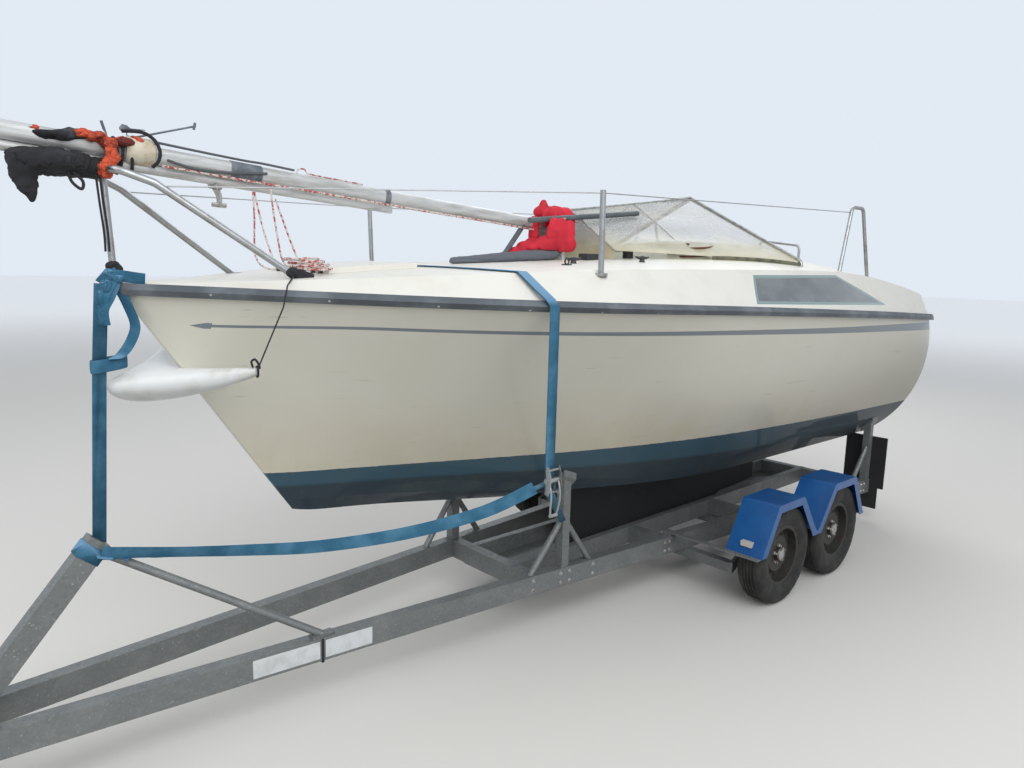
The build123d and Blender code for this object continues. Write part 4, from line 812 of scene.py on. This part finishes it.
falls = {
    "fall_aft": (
        (2.600, 0.034, 2.105), (2.603, 0.05, 2.02), (2.616, 0.07, 1.93), (2.622, 0.08, 1.86), (2.600, 0.10, 1.815),
        (2.56, 0.13, 1.812)),
    "fall_middle": (
        (2.595, 0.036, 2.105), (2.585, 0.06, 2.00), (2.575, 0.10, 1.90), (2.560, 0.14, 1.822), (2.52, 0.18, 1.815),
        (2.47, 0.19, 1.820)),
    "fall_front": (
        (2.528, 0.034, 2.125), (2.527, 0.05, 2.03), (2.524, 0.08, 1.92), (2.518, 0.10, 1.835), (2.49, 0.13, 1.822),
        (2.45, 0.12, 1.826)),
    "fall_near": (
        (2.508, 0.032, 2.085), (2.497, 0.07, 2.00), (2.484, 0.12, 1.90), (2.474, 0.15, 1.842), (2.455, 0.18, 1.829),
        (2.440, 0.225, 1.826)),
}
for name, points in falls.items():
    free_cord(name, points, 0.007, fleck_look, "mast")
coil_points = []
for step in range(46):
    turn = 2 * math.pi * step / 13.3
    size = 0.060 + 0.013 * math.sin(step * 0.41) + 0.004 * math.sin(step * 1.3)
    station, side = 2.470 + size * math.cos(turn) * 1.25 + 0.0009 * step, 0.235 + size * math.sin(turn)
    coil_points.append((station, side, 1.8125 + 0.0010 * step + 0.004 * math.sin(step * 0.9) ** 2))
free_cord("deck_coil", coil_points, 0.009, fleck_look, "root")

# Bow fender: a long white inflated vinyl fender bent round the stem. Its black line is knotted at
# the near tip, led up over the rub rail, and lashed to the pulpit's foot.
fender_look = worn_look(
    "fender_vinyl", ((0.80, 0.82, 0.82), (0.60, 0.60, 0.55), 8, 4, 0.5, 0.8), 0.35, Coat_Weight=0.2)
dress(fender_look, "bow_fender")
smooth(60, "bow_fender")
knot_rows = (
    (2.548, 0.303, 1.795, 0.030, 0.028, 0.022), (2.575, 0.300, 1.805, 0.024, 0.024, 0.018),
    (2.52, 0.315, 1.792, 0.022, 0.016, 0.012),
)
knot = soft_mass("foot_lashing", knot_rows, 0.004, 0.012, 46, (1, 1, 1), 2)
finish_piece(knot, black_rope_look, "root", 180)
fender_line = bmesh.new()
rail_hit, rail_edge, _, _ = nodes["rub_rail"].ray_cast((at(2.635), 2.0, sheer_bow[1] - 0.024), (0, -1, 0))
rail_side = rail_edge.y + 0.004 if rail_hit else 0.42
tube_into(fender_line, spots(
    (2.787, 0.452, 1.486), (2.688, rail_side - 0.012, 1.690), (2.678, rail_side - 0.008, 1.742),
    (2.664, rail_side - 0.026, 1.764), (2.575, 0.308, 1.796)), 0.0028, 8)
eye = [(2.790 + 0.004 * math.cos(t), 0.450 + 0.017 * math.cos(t), 1.474 + 0.018 * math.sin(t)) for t in ring_turns]
tube_into(fender_line, spots(*eye), 0.0040, 8)
bend = spots(
    (2.800, 0.440, 1.488), (2.806, 0.442, 1.508), (2.796, 0.448, 1.516), (2.786, 0.453, 1.500), (2.782, 0.454, 1.484))
tube_into(fender_line, curve_through(bend), 0.0038, 8)
finish_piece(from_bmesh("fender_line", fender_line), black_rope_look, "root")

# Spray hood: one sheet of clear vinyl from roof to roof over its ridge, with a closed front. It is
# buttoned to the roof and stretched by the hoop, hazy, yellowed low down, and a little slack.
hood_back, hood_fore, hood_steps, hood_across, front_steps = -0.318, 0.790, 26, 15, 6


def hood_place(station, part):
    """A point of the hood: part is -1 at the starboard hem, 0 on the ridge, 1 at the port hem."""
    run = (hood_fore - station) / (hood_fore - hood_back)
    ridge, half_wide, foot = 2.149 + 0.144 * run, 0.330 + 0.450 * run, 1.935 - 0.029 * run
    fall = abs(part)
    spot = Vector((at(station), part * half_wide, ridge + (foot - ridge) * fall))
    slope = Vector((0, (ridge - foot) * (1 if part >= 0 else -1), half_wide)).normalized()
    belly = math.sin(math.pi * fall) * math.sin(math.pi * run)
    pulls = noise.noise(Vector((station * 2.2 + fall * 1.6, part * 4.5, 1.0)))
    ripple = noise.noise(Vector((station * 7 - fall * 6, part * 3 + 5, 4.0)))
    return spot + slope * (-0.012 * belly + belly * (0.014 * pulls + 0.006 * ripple))


hood_sheet = bmesh.new()
hood_grid = []
for step in range(hood_steps + 1):
    station = hood_fore + (hood_back - hood_fore) * step / hood_steps
    row = [hood_place(station, k / hood_across) for k in range(-hood_across, hood_across + 1)]
    hood_grid.append([hood_sheet.verts.new(place) for place in row])
for row, following in zip(hood_grid, hood_grid[1:]):
    for k in range(2 * hood_across):
        hood_sheet.faces.new((row[k], row[k + 1], following[k + 1], following[k]))
above = hood_grid[0]
for step in range(1, front_steps + 1):
    below = []
    for vertex in hood_grid[0]:
        foot = min(roof(hood_fore, vertex.co.y) + 0.003, vertex.co.z - 0.001)
        level = vertex.co.z + (foot - vertex.co.z) * step / front_steps
        wave = 0.006 * noise.noise(Vector((vertex.co.y * 9, level * 9, 2.0)))
        below.append(hood_sheet.verts.new((vertex.co.x - abs(wave), vertex.co.y, level)))
    for k in range(2 * hood_across):
        hood_sheet.faces.new((above[k], below[k], below[k + 1], above[k + 1]))
    above = below
hood_area = sum(face.calc_area() for face in hood_sheet.faces)
hood_skin = from_bmesh("vinyl_hood", hood_sheet)
bpy.context.scene.collection.objects.link(hood_skin)
thicken = hood_skin.modifiers.new("thickness", "SOLIDIFY")
thicken.thickness = 0.0015
thicken.offset = -1
graph = bpy.context.evaluated_depsgraph_get()
hood_mesh = bpy.data.meshes.new_from_object(hood_skin.evaluated_get(graph))
hood_skin.modifiers.clear()
hood_skin.data = hood_mesh
haze_look = Look("hazy_vinyl", rough=0.30)
haze = haze_look.noise(1.0, 4, 0.6, (5, 5, 8))
low_down = haze_look.ramp(haze_look.axis("Z"), 1.93, 2.06, 1.0, 0.0)
clouded = haze_look.mix(haze_look.ramp(haze, 0.35, 0.7), (0.36, 0.37, 0.36), (0.48, 0.47, 0.42))
haze_look.colour(haze_look.mix(low_down, clouded, (0.60, 0.56, 0.37)))
thickness = haze_look.sum("MULTIPLY_ADD", low_down, 0.22, haze_look.ramp(haze, 0.30, 0.72, 0.30, 0.46))
haze_look.feed(haze_look.shader.inputs["Alpha"], thickness)
grain(haze_look, 7, 3, 0.3, 0.006, 0.6, (1, 1, 2.2))
finish_piece(hood_skin, haze_look, "root", 60)
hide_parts("spray_hood")

# Hood's hem and piping: an olive cloth hem buttoned along the roof, and grey piping sewn on the
# hood's ridge, edges and seams.
olive_look = worn_look(
    "olive_hem", ((0.17, 0.17, 0.11), (0.08, 0.08, 0.06), 24, 4, 0.4, 0.7), 0.75, (180, 2, 0.2, 0.0006))
hem = bmesh.new()
for side in (1, -1):
    points = []
    for step in range(13):
        part = step / 12
        station, y = 0.235 - 0.55 * part, side * (0.556 + 0.226 * part)
        points.append((station, y, roof(station, y) + 0.010))
    tube_into(hem, spots(*points), 0.011, 10, 0.35, (0, 0, 1))
finish_piece(from_bmesh("hood_hem", hem), olive_look, "root")
piping_look = worn_look(
    "hood_piping", ((0.46, 0.47, 0.46), (0.26, 0.27, 0.27), 30, 4, 0.4, 0.7), 0.6, (150, 2, 0.2, 0.0006))
piping = bmesh.new()
ridge_line = spots((0.79, 0, 2.151), (0.40, 0, 2.199), (0.0, 0, 2.251), (-0.318, 0, 2.296))
tube_into(piping, curve_through(ridge_line), 0.006, 8)
for side in (1, -1):
    fore_edge = spots((0.79, 0, 2.151), (0.79, side * 0.16, 2.048), (0.79, side * 0.331, 1.937))
    tube_into(piping, curve_through(fore_edge), 0.004, 8)
    back_edge = spots((-0.318, 0, 2.298), (-0.318, side * 0.39, 2.105), (-0.318, side * 0.78, 1.910))
    tube_into(piping, curve_through(back_edge), 0.006, 8)
    seam = spots((0.25, 0.0, 2.222), (0.27, side * 0.17, 2.118), (0.30, side * 0.34, 2.012), (0.33, side * 0.46, 1.935))
    tube_into(piping, curve_through(seam), 0.0025, 6)
finish_piece(from_bmesh("hood_piping_run", piping), piping_look, "root")

# Brown coil: an old laid rope, brown with age, dropped in three loose turns on the roof under the
# hood's side.
brown_look = worn_look("brown_rope", (0.16, 0.075, 0.045), 0.85, (240, 2, 0.5, 0.001))
brown_rows = []
for step in range(40):
    turn = 2 * math.pi * step / 13
    size = 0.060 + 0.012 * math.sin(step * 0.43)
    station, side = 0.24 + size * 1.9 * math.cos(turn) - 0.0015 * step, 0.425 + size * math.sin(turn)
    brown_rows.append((station, side, roof(station, side) + 0.008 + 0.0016 * step))
free_cord("brown_coil", brown_rows, 0.011, brown_look, "root")

# Trailer frame, supports, bow post, coupling, axles and jockey tube: welded and bolted steel,
# hot-dip galvanised, dull with its spangle, pale bloom and specks.
zinc_look = Look("galvanised", metal=0.45)
tone = zinc_look.add("ShaderNodeSeparateColor")
zinc_look.feed(tone.inputs[0], zinc_look.cells(95).outputs["Color"])
bloom = zinc_look.ramp(zinc_look.noise(7, 6, 0.65), 0.42, 0.7)
specks = zinc_look.ramp(zinc_look.noise(110, 3, 0.6), 0.63, 0.70, 0.0, 0.7)
spangle = zinc_look.ramp(tone.outputs[0], 0.0, 1.0, 0.15, 0.45)
zinc = zinc_look.mix(spangle, (0.180, 0.190, 0.190), (0.255, 0.268, 0.268))
zinc = zinc_look.mix(zinc_look.sum("MULTIPLY", bloom, 0.35), zinc, (0.32, 0.33, 0.32))
zinc_look.colour(zinc_look.mix(specks, zinc, (0.48, 0.49, 0.48)))
zinc_look.rough(zinc_look.ramp(tone.outputs[1], 0.0, 1.0, 0.42, 0.66))
grain(zinc_look, 70, 4, 0.15, 0.0015)
round_steel = ("bow_post", "coupling_gear", "axles", "jockey_tube", "hull_supports")
dress(zinc_look, "frame_rails", "cross_frame", "jockey_fork", *round_steel)
smooth(35, *round_steel)

# Blue straps: woven polyester webbing over the deck and down to the trailer, with a painted highlight that makes it
# lighter where it faces up. The slack run hangs on edge between the bow post and the ratchet.
web_look = Look("blue_webbing", rough=0.8)
web_blue = patches(web_look, (0.020, 0.115, 0.20), (0.065, 0.20, 0.32), 12, 4, 0.35, 0.75)
web_up = web_look.axis("Z", web_look.add("ShaderNodeNewGeometry").outputs["Normal"])
# Painted highlight: the webbing turns lighter blue where its surface faces up.
web_look.colour(web_look.mix(web_look.ramp(web_up, 0.35, 0.95), web_blue, (0.15, 0.31, 0.49)))
weave = web_look.sum("MULTIPLY", web_look.sum("SINE", web_look.sum("MULTIPLY", web_look.axis("Z"), 1400.0)), 0.5)
web_look.bump(weave, 0.25, 0.0008)
straps_mesh = bmesh.new()
straps_mesh.from_mesh(nodes["blue_straps"].data)
bmesh.ops.remove_doubles(straps_mesh, verts=straps_mesh.verts, dist=1e-5)
slack_faces = []
for face in straps_mesh.faces:
    spot = face.calc_center_median()
    if 1.93 < spot.x - axle_x < 3.19 and spot.z < 1.0 and spot.y > 0.045:
        slack_faces.append(face)
bmesh.ops.delete(straps_mesh, geom=slack_faces, context="FACES")
bmesh.ops.holes_fill(straps_mesh, edges=[edge for edge in straps_mesh.edges if edge.is_boundary], sides=0)
slack_run = curve_through(spots(
    (3.205, 0.046, 0.802), (3.10, 0.066, 0.786), (2.924, 0.120, 0.762), (2.736, 0.205, 0.748), (2.511, 0.350, 0.752),
    (2.250, 0.565, 0.808), (2.040, 0.775, 0.905), (1.905, 0.915, 1.010)), 6)
slack_lean = []
for index in range(len(slack_run)):
    part = index / (len(slack_run) - 1)
    slack_lean.append((0.25 * math.sin(5 * part), 0.3 * math.sin(7 * part), 1.0))
tube_into(straps_mesh, slack_run, 0.0245, 8, 0.07, slack_lean)
straps = finish_piece(from_bmesh("strap_webbing", straps_mesh), web_look, "root", 50)
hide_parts("blue_straps")

# Webbing at the bow: a band round the strap below the stem, a loose loop beside it, folded turns
# knotted at the stem head under a black cap, and a tail along the deck's edge.
bow_web = bmesh.new()
band = []
for step in range(25):
    turn = 2 * math.pi * step / 24
    band.append((3.133 + 0.060 * math.cos(turn), 0.004 + 0.026 * math.sin(turn), 1.474 - 0.008 * math.cos(turn)))
tube_into(bow_web, spots(*band), 0.023, 8, 0.09, (0, 0, 1))
facing = Vector((0.73, -0.68, 0))
strap_paths = (
    (0.019, (
        (3.092, 0.034, 1.735), (3.068, 0.036, 1.675), (3.050, 0.040, 1.610), (3.066, 0.038, 1.555),
        (3.098, 0.034, 1.510), (3.138, 0.026, 1.494))),
    (0.017, (
        (3.092, 0.040, 1.792), (3.112, 0.040, 1.770), (3.136, 0.034, 1.726), (3.148, 0.029, 1.680),
        (3.150, 0.026, 1.630))),
    (0.015, (
        (3.118, 0.036, 1.806), (3.104, 0.044, 1.770), (3.122, 0.042, 1.715), (3.144, 0.034, 1.665),
        (3.140, 0.030, 1.612))),
)
for half_width, path in strap_paths:
    run = curve_through(spots(*path), 5)
    leans = [facing + Vector((0, 0, 0.35 * math.sin(0.16 * index))) for index in range(len(run))]
    tube_into(bow_web, run, half_width, 8, 0.09, leans)
tail = spots((3.112, 0.040, 1.785), (3.080, 0.054, 1.782), (3.050, 0.068, 1.777), (3.022, 0.082, 1.773))
tube_into(bow_web, curve_through(tail, 5), 0.021, 8, 0.12, (0.1, 0.25, 1))
finish_piece(from_bmesh("bow_webbing_turns", bow_web), web_look, "root", 50)
knot_rows = (
    (3.118, 0.022, 1.786, 0.020, 0.020, 0.018), (3.130, 0.022, 1.745, 0.016, 0.020, 0.024),
    (3.146, 0.014, 1.700, 0.013, 0.016, 0.034), (3.088, 0.045, 1.772, 0.026, 0.013, 0.012),
    (3.148, 0.012, 1.640, 0.010, 0.016, 0.032),
)
stem_knot = soft_mass("stem_head_knot", knot_rows, 0.004, 0.020, 22, (1, 1, 0.5), 6)
finish_piece(stem_knot, web_look, "root", 180)
cap_rows = ((3.106, 0.014, 1.818, 0.022, 0.022, 0.016), (3.092, 0.024, 1.806, 0.016, 0.016, 0.014))
cap_tape = soft_mass("stem_head_tape", cap_rows, 0.003, 0.008, 50, (1, 1, 1), 4)
finish_piece(cap_tape, black_rope_look, "root", 180)

# Ratchet: pressed and plated steel on the hull strap, with two side plates, a drum with its pawl,
# and a long handle hanging down.
ratchet_low, ratchet_high = (Vector(corner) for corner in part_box("ratchet"))
ratchet_middle = (ratchet_low + ratchet_high) / 2


def on_ratchet(x, y, z):
    """A point across, out from and above the middle of the ratchet's inner face."""
    return Vector((ratchet_middle.x + x, ratchet_low.y + y, ratchet_middle.z + z))


ratchet = bmesh.new()
for offset in (-0.029, 0.029):
    plate = ((0.012, -0.055), (0.020, -0.02), (0.022, 0.02), (0.014, 0.055))
    plate_radii = [0.010, 0.015, 0.015, 0.009]
    tube_into(ratchet, [on_ratchet(offset, y, z) for y, z in plate], plate_radii, 12, 0.14, (0, 1, 0))
for z, radius in ((0.0, 0.011), (0.040, 0.005), (-0.045, 0.005)):
    tube_into(ratchet, [on_ratchet(-0.034, 0.014, z), on_ratchet(0.034, 0.014, z)], radius, 14)
for side in (-1, 1):
    arm = ((0.024, 0.020, 0.0), (0.024, 0.034, -0.05), (0.022, 0.030, -0.10), (0.016, 0.024, -0.135))
    tube_into(ratchet, curve_through([on_ratchet(side * x, y, z) for x, y, z in arm]), 0.004, 8)
tube_into(ratchet, [on_ratchet(-0.018, 0.024, -0.136), on_ratchet(0.018, 0.024, -0.136)], 0.0075, 12)
piece = finish_piece(from_bmesh("strap_ratchet", ratchet), steel_look, "root")
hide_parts("ratchet")

# Rail labels and tie: two blank white plastic plates with rounded corners, stuck on the near
# rail's side, and a dark strap tied round the rail between them.
rail_slope, rail_front, rail_out = 0.0959, 4.77, 0.0302
plate_low, plate_high, corner = 0.222, 0.298, 0.003
label_look = worn_look(
    "blank_label", ((0.74, 0.77, 0.79), (0.58, 0.60, 0.60), 20, 4, 0.4, 0.75), 0.5, (90, 2, 0.08, 0.0005))
labels = bmesh.new()
for start, end in ((2.228, 2.440), (2.464, 2.740)):
    corners = []
    for index in range(20):
        turn = 2 * math.pi * index / 20
        x = (end - corner if math.cos(turn) > 0 else start + corner) + corner * math.cos(turn)
        z = (plate_high - corner if math.sin(turn) > 0 else plate_low + corner) + corner * math.sin(turn)
        corners.append((x, rail_slope * (rail_front - x) + rail_out, z))
    corners = spots(*corners)
    front = [labels.verts.new(c + Vector((0.0001, 0.0012, 0))) for c in corners]
    back = [labels.verts.new(c) for c in corners]
    labels.faces.new(front)
    labels.faces.new(list(reversed(back)))
    for index in range(20):
        after = (index + 1) % 20
        labels.faces.new((front[index], back[index], back[after], front[after]))
finish_piece(from_bmesh("rail_labels", labels), label_look, "root")
tie = bmesh.new()
tie_station = 2.452
tie_y = rail_slope * (rail_front - tie_station) + rail_out
tie_loop = (
    (0.0015, 0.2035), (0.0015, 0.3065), (-0.030, 0.3070), (-0.0615, 0.3065), (-0.0615, 0.2035), (-0.030, 0.2032),
    (0.0015, 0.2035),
)
tube_into(tie, spots(*[(tie_station, tie_y + y, z) for y, z in tie_loop]), 0.0055, 8, 0.3, (1, 0, 0))
finish_piece(from_bmesh("rail_tie", tie), black_rope_look, "root")

# Mudguards, marker lamps and tail plates: folded sheet in scratched bright blue paint, small plain lenses screwed to
# it, and near-black plates on the tail.
guard_look = Look("guard_blue", rough=0.35, Coat_Weight=0.3)
scratch = guard_look.ramp(guard_look.noise(28, 6, 0.75, (3, 1, 1)), 0.62, 0.7)
guard_blue = patches(guard_look, (0.006, 0.075, 0.27), (0.010, 0.11, 0.35), 5, 4, 0.3, 0.7)
guard_look.colour(guard_look.mix(scratch, guard_blue, (0.12, 0.18, 0.26)))
dress(guard_look, "mudguards")
lamp_look = worn_look("lamp_lens", (0.62, 0.60, 0.55), 0.2, (60, 2, 0.1, 0.001), Coat_Weight=0.4)
dress(lamp_look, "marker_lamps")
plate_look = worn_look("black_plate", (0.016, 0.016, 0.017), 0.6, (30, 4, 0.2, 0.002))
dress(plate_look, "tail_plates")

# Wheels: pressed steel rims in dull grey paint that rusts, darkened to near black with painted shade, and the jockey
# wheel's solid rubber.
# Each rim has five nuts on their studs, a plated hub cap and a valve.
wheel_names = ("front_left", "front_right", "rear_left", "rear_right")
# Painted shade: the rims' grey paint is darkened to near black, with rust patches.
rim_shaded_look = worn_look(
    "rim_paint_and_shade", ((0.042, 0.041, 0.037), (0.034, 0.022, 0.015), 22, 6, 0.52, 0.68, 0.7), 0.6, (110, 4, 0.25, 0.001),
    metal=0.2)
dress(rim_shaded_look, *[f"rim_{name}" for name in wheel_names])
smooth(30, *[f"rim_{name}" for name in wheel_names])
solid_look = worn_look("jockey_rubber", (0.03, 0.03, 0.03), 0.7, (80, 3, 0.2, 0.001))
dress(solid_look, "jockey_wheel")
for name in wheel_names:
    centre = Vector(joints[f"wheel_spin_{name}"]["pos_m"])
    outward = Vector((0, 1 if centre.y > 0 else -1, 0))
    nuts = bmesh.new()
    for step in range(5):
        turn = 2 * math.pi * step / 5 + 0.3
        spot = centre + outward * 0.0215 + Vector((0.049 * math.cos(turn), 0, 0.049 * math.sin(turn)))
        tube_into(nuts, [spot, spot + outward * 0.012, spot + outward * 0.015], [0.0105, 0.0105, 0.008], 6)
        tube_into(nuts, [spot, spot + outward * 0.022], 0.0058, 10)
    cap = centre + outward * 0.040
    tube_into(nuts, [cap, cap + outward * 0.010, cap + outward * 0.016], [0.033, 0.031, 0.014], 24)
    valve = centre + outward * 0.012 + Vector((0.135, 0, 0))
    tube_into(nuts, [valve, valve + outward * 0.03 - Vector((0.004, 0, 0))], 0.004, 8)
    finish_piece(from_bmesh(f"wheel_nuts_{name}", nuts), nut_look, f"wheel_{name}", 30)

# Tyres: worn black rubber with a rounded shoulder and four grooves round the tread, each lathed on
# the wheel's axis and seated on its rim's beads.
tyre_look = worn_look(
    "tyre_rubber", ((0.014, 0.014, 0.014), (0.045, 0.042, 0.037), 12, 5, 0.4, 0.75), 0.78, (150, 3, 0.2, 0.001))
tyre_steps = 26
for name in wheel_names:
    centre = Vector(joints[f"wheel_spin_{name}"]["pos_m"])
    from_hub = [v.co - centre for v in nodes[f"tyre_{name}"].data.vertices]
    radii, sides = [math.hypot(s.x, s.z) for s in from_hub], [s.y for s in from_hub]
    outer, bead = max(radii), min(radii)
    tall, wide, middle_y = outer - bead, max(sides) - min(sides), (max(sides) + min(sides)) / 2
    shoulder = [
        (bead, -0.36), (bead + tall * 0.30, -0.47), (bead + tall * 0.62, -0.50), (outer - 0.012, -0.455),
        (outer - 0.001, -0.36)]
    profile = list(shoulder)
    for groove in (-0.20, -0.065, 0.065, 0.20):
        profile += [
            (outer - 0.0005, groove - 0.030), (outer - 0.006, groove - 0.020), (outer - 0.006, groove + 0.020),
            (outer - 0.0005, groove + 0.030)]
    profile += [(r, -y) for r, y in reversed(shoulder)] + [(bead + 0.006, 0.30), (bead + 0.006, -0.30)]
    rubber = bmesh.new()
    rings = []
    for step in range(tyre_steps):
        turn = 2 * math.pi * step / tyre_steps
        ring = [Vector((r * math.cos(turn), middle_y + y * wide, r * math.sin(turn))) for r, y in profile]
        rings.append([rubber.verts.new(centre + spot) for spot in ring])
    for index, ring in enumerate(rings):
        following = rings[(index + 1) % len(rings)]
        for spot in range(len(profile)):
            after = (spot + 1) % len(profile)
            rubber.faces.new((ring[spot], following[spot], following[after], ring[after]))
    tyre = finish_piece(from_bmesh(f"treaded_tyre_{name}", rubber), tyre_look, f"wheel_{name}", 50)
    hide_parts(f"tyre_{name}")

# Screw and bolt heads: small bright screws hold the rub rail, and zinc hexagons on washers hold
# supports, post and guard bars to the rails. A Geometry Nodes tree sets one head on each marked
# place, facing outwards.
heads_tree = bpy.data.node_groups.new("fastener_heads", "GeometryNodeTree")
heads_face = heads_tree.interface
for label, way, kind in (
    ("Geometry", "INPUT", "Geometry"), ("Head sides", "INPUT", "Int"), ("Head radius", "INPUT", "Float"),
    ("Head height", "INPUT", "Float"), ("Finish", "INPUT", "Material"), ("Geometry", "OUTPUT", "Geometry"),
):
    heads_face.new_socket(label, in_out=way, socket_type=f"NodeSocket{kind}")
heads_in, heads_out = heads_tree.nodes.new("NodeGroupInput"), heads_tree.nodes.new("NodeGroupOutput")
head = heads_tree.nodes.new("GeometryNodeMeshCone")
head.inputs["Side Segments"].default_value = 1
outward = heads_tree.nodes.new("GeometryNodeInputNamedAttribute")
outward.data_type = "FLOAT_VECTOR"
outward.inputs["Name"].default_value = "outward"
turned = heads_tree.nodes.new("FunctionNodeAlignRotationToVector")
turned.axis = "Z"
placed = heads_tree.nodes.new("GeometryNodeInstanceOnPoints")
real = heads_tree.nodes.new("GeometryNodeRealizeInstances")
finished = heads_tree.nodes.new("GeometryNodeSetMaterial")
narrow = heads_tree.nodes.new("ShaderNodeMath")
narrow.operation = "MULTIPLY"
narrow.inputs[1].default_value = 0.72
for source, target in (
    (heads_in.outputs["Head sides"], head.inputs["Vertices"]),
    (heads_in.outputs["Head radius"], head.inputs["Radius Bottom"]),
    (heads_in.outputs["Head radius"], narrow.inputs[0]), (narrow.outputs[0], head.inputs["Radius Top"]),
    (heads_in.outputs["Head height"], head.inputs["Depth"]), (outward.outputs["Attribute"], turned.inputs["Vector"]),
    (heads_in.outputs["Geometry"], placed.inputs["Points"]), (head.outputs["Mesh"], placed.inputs["Instance"]),
    (turned.outputs["Rotation"], placed.inputs["Rotation"]), (placed.outputs["Instances"], real.inputs["Geometry"]),
    (real.outputs["Geometry"], finished.inputs["Geometry"]), (heads_in.outputs["Finish"], finished.inputs["Material"]),
    (finished.outputs["Geometry"], heads_out.inputs["Geometry"]),
):
    heads_tree.links.new(source, target)


def fastener_heads(name, places, sides, radius, height):
    """One head at each place, which is a spot and the way it faces."""
    marks = bpy.data.meshes.new(name)
    marks.from_pydata([tuple(spot) for spot, _ in places], [], [])
    facing_row = marks.attributes.new("outward", "FLOAT_VECTOR", "POINT")
    facing_row.data.foreach_set("vector", [c for _, way in places for c in way])
    piece = bpy.data.objects.new(name, marks)
    bpy.context.scene.collection.objects.link(piece)
    node_modifier = piece.modifiers.new("heads", "NODES")
    node_modifier.node_group = heads_tree
    values = {"Head sides": sides, "Head radius": radius, "Head height": height, "Finish": nut_look.material}
    for item in heads_face.items_tree:
        if item.in_out == "INPUT" and item.name in values:
            node_modifier[item.identifier] = values[item.name]
    graph = bpy.context.evaluated_depsgraph_get()
    mesh = bpy.data.meshes.new_from_object(piece.evaluated_get(graph))
    piece.modifiers.clear()
    piece.data = mesh
    finish_piece(piece, nut_look, "root", 30)


screw_count, screw_gap, washer_proud = 17, 0.305, 0.0015
bolt_stations = (1.10, 1.16, 1.34, 0.936, 3.59, 3.69, 0.33, 0.37, -0.48, -0.52, -1.78, -1.82)
screw_places, bolt_places, washer_places = [], [], []
for side in (1, -1):
    outward = Vector((0, side, 0))
    for step in range(screw_count):
        station = 2.86 - screw_gap * step
        level = 1.540 + (station + 2.17) * 0.0374 - 0.004
        hit, spot, normal, _ = nodes["rub_rail"].ray_cast((at(station), 2.0 * side, level), -outward)
        if hit:
            screw_places.append((spot - normal * 0.0005, normal))
    for station in bolt_stations:
        rail_y = side * (rail_slope * (rail_front - station) + 0.0301)
        for z in (0.262,) if station > 2 else (0.235, 0.285):
            spot = Vector((at(station), rail_y, z))
            washer_places.append((spot, outward))
            bolt_places.append((spot + outward * washer_proud, outward))
fastener_heads("rub_rail_screws", screw_places, 12, 0.0048, 0.0020)
fastener_heads("rail_washers", washer_places, 16, 0.0120, 0.0016)
fastener_heads("rail_bolts", bolt_places, 6, 0.0090, 0.0070)
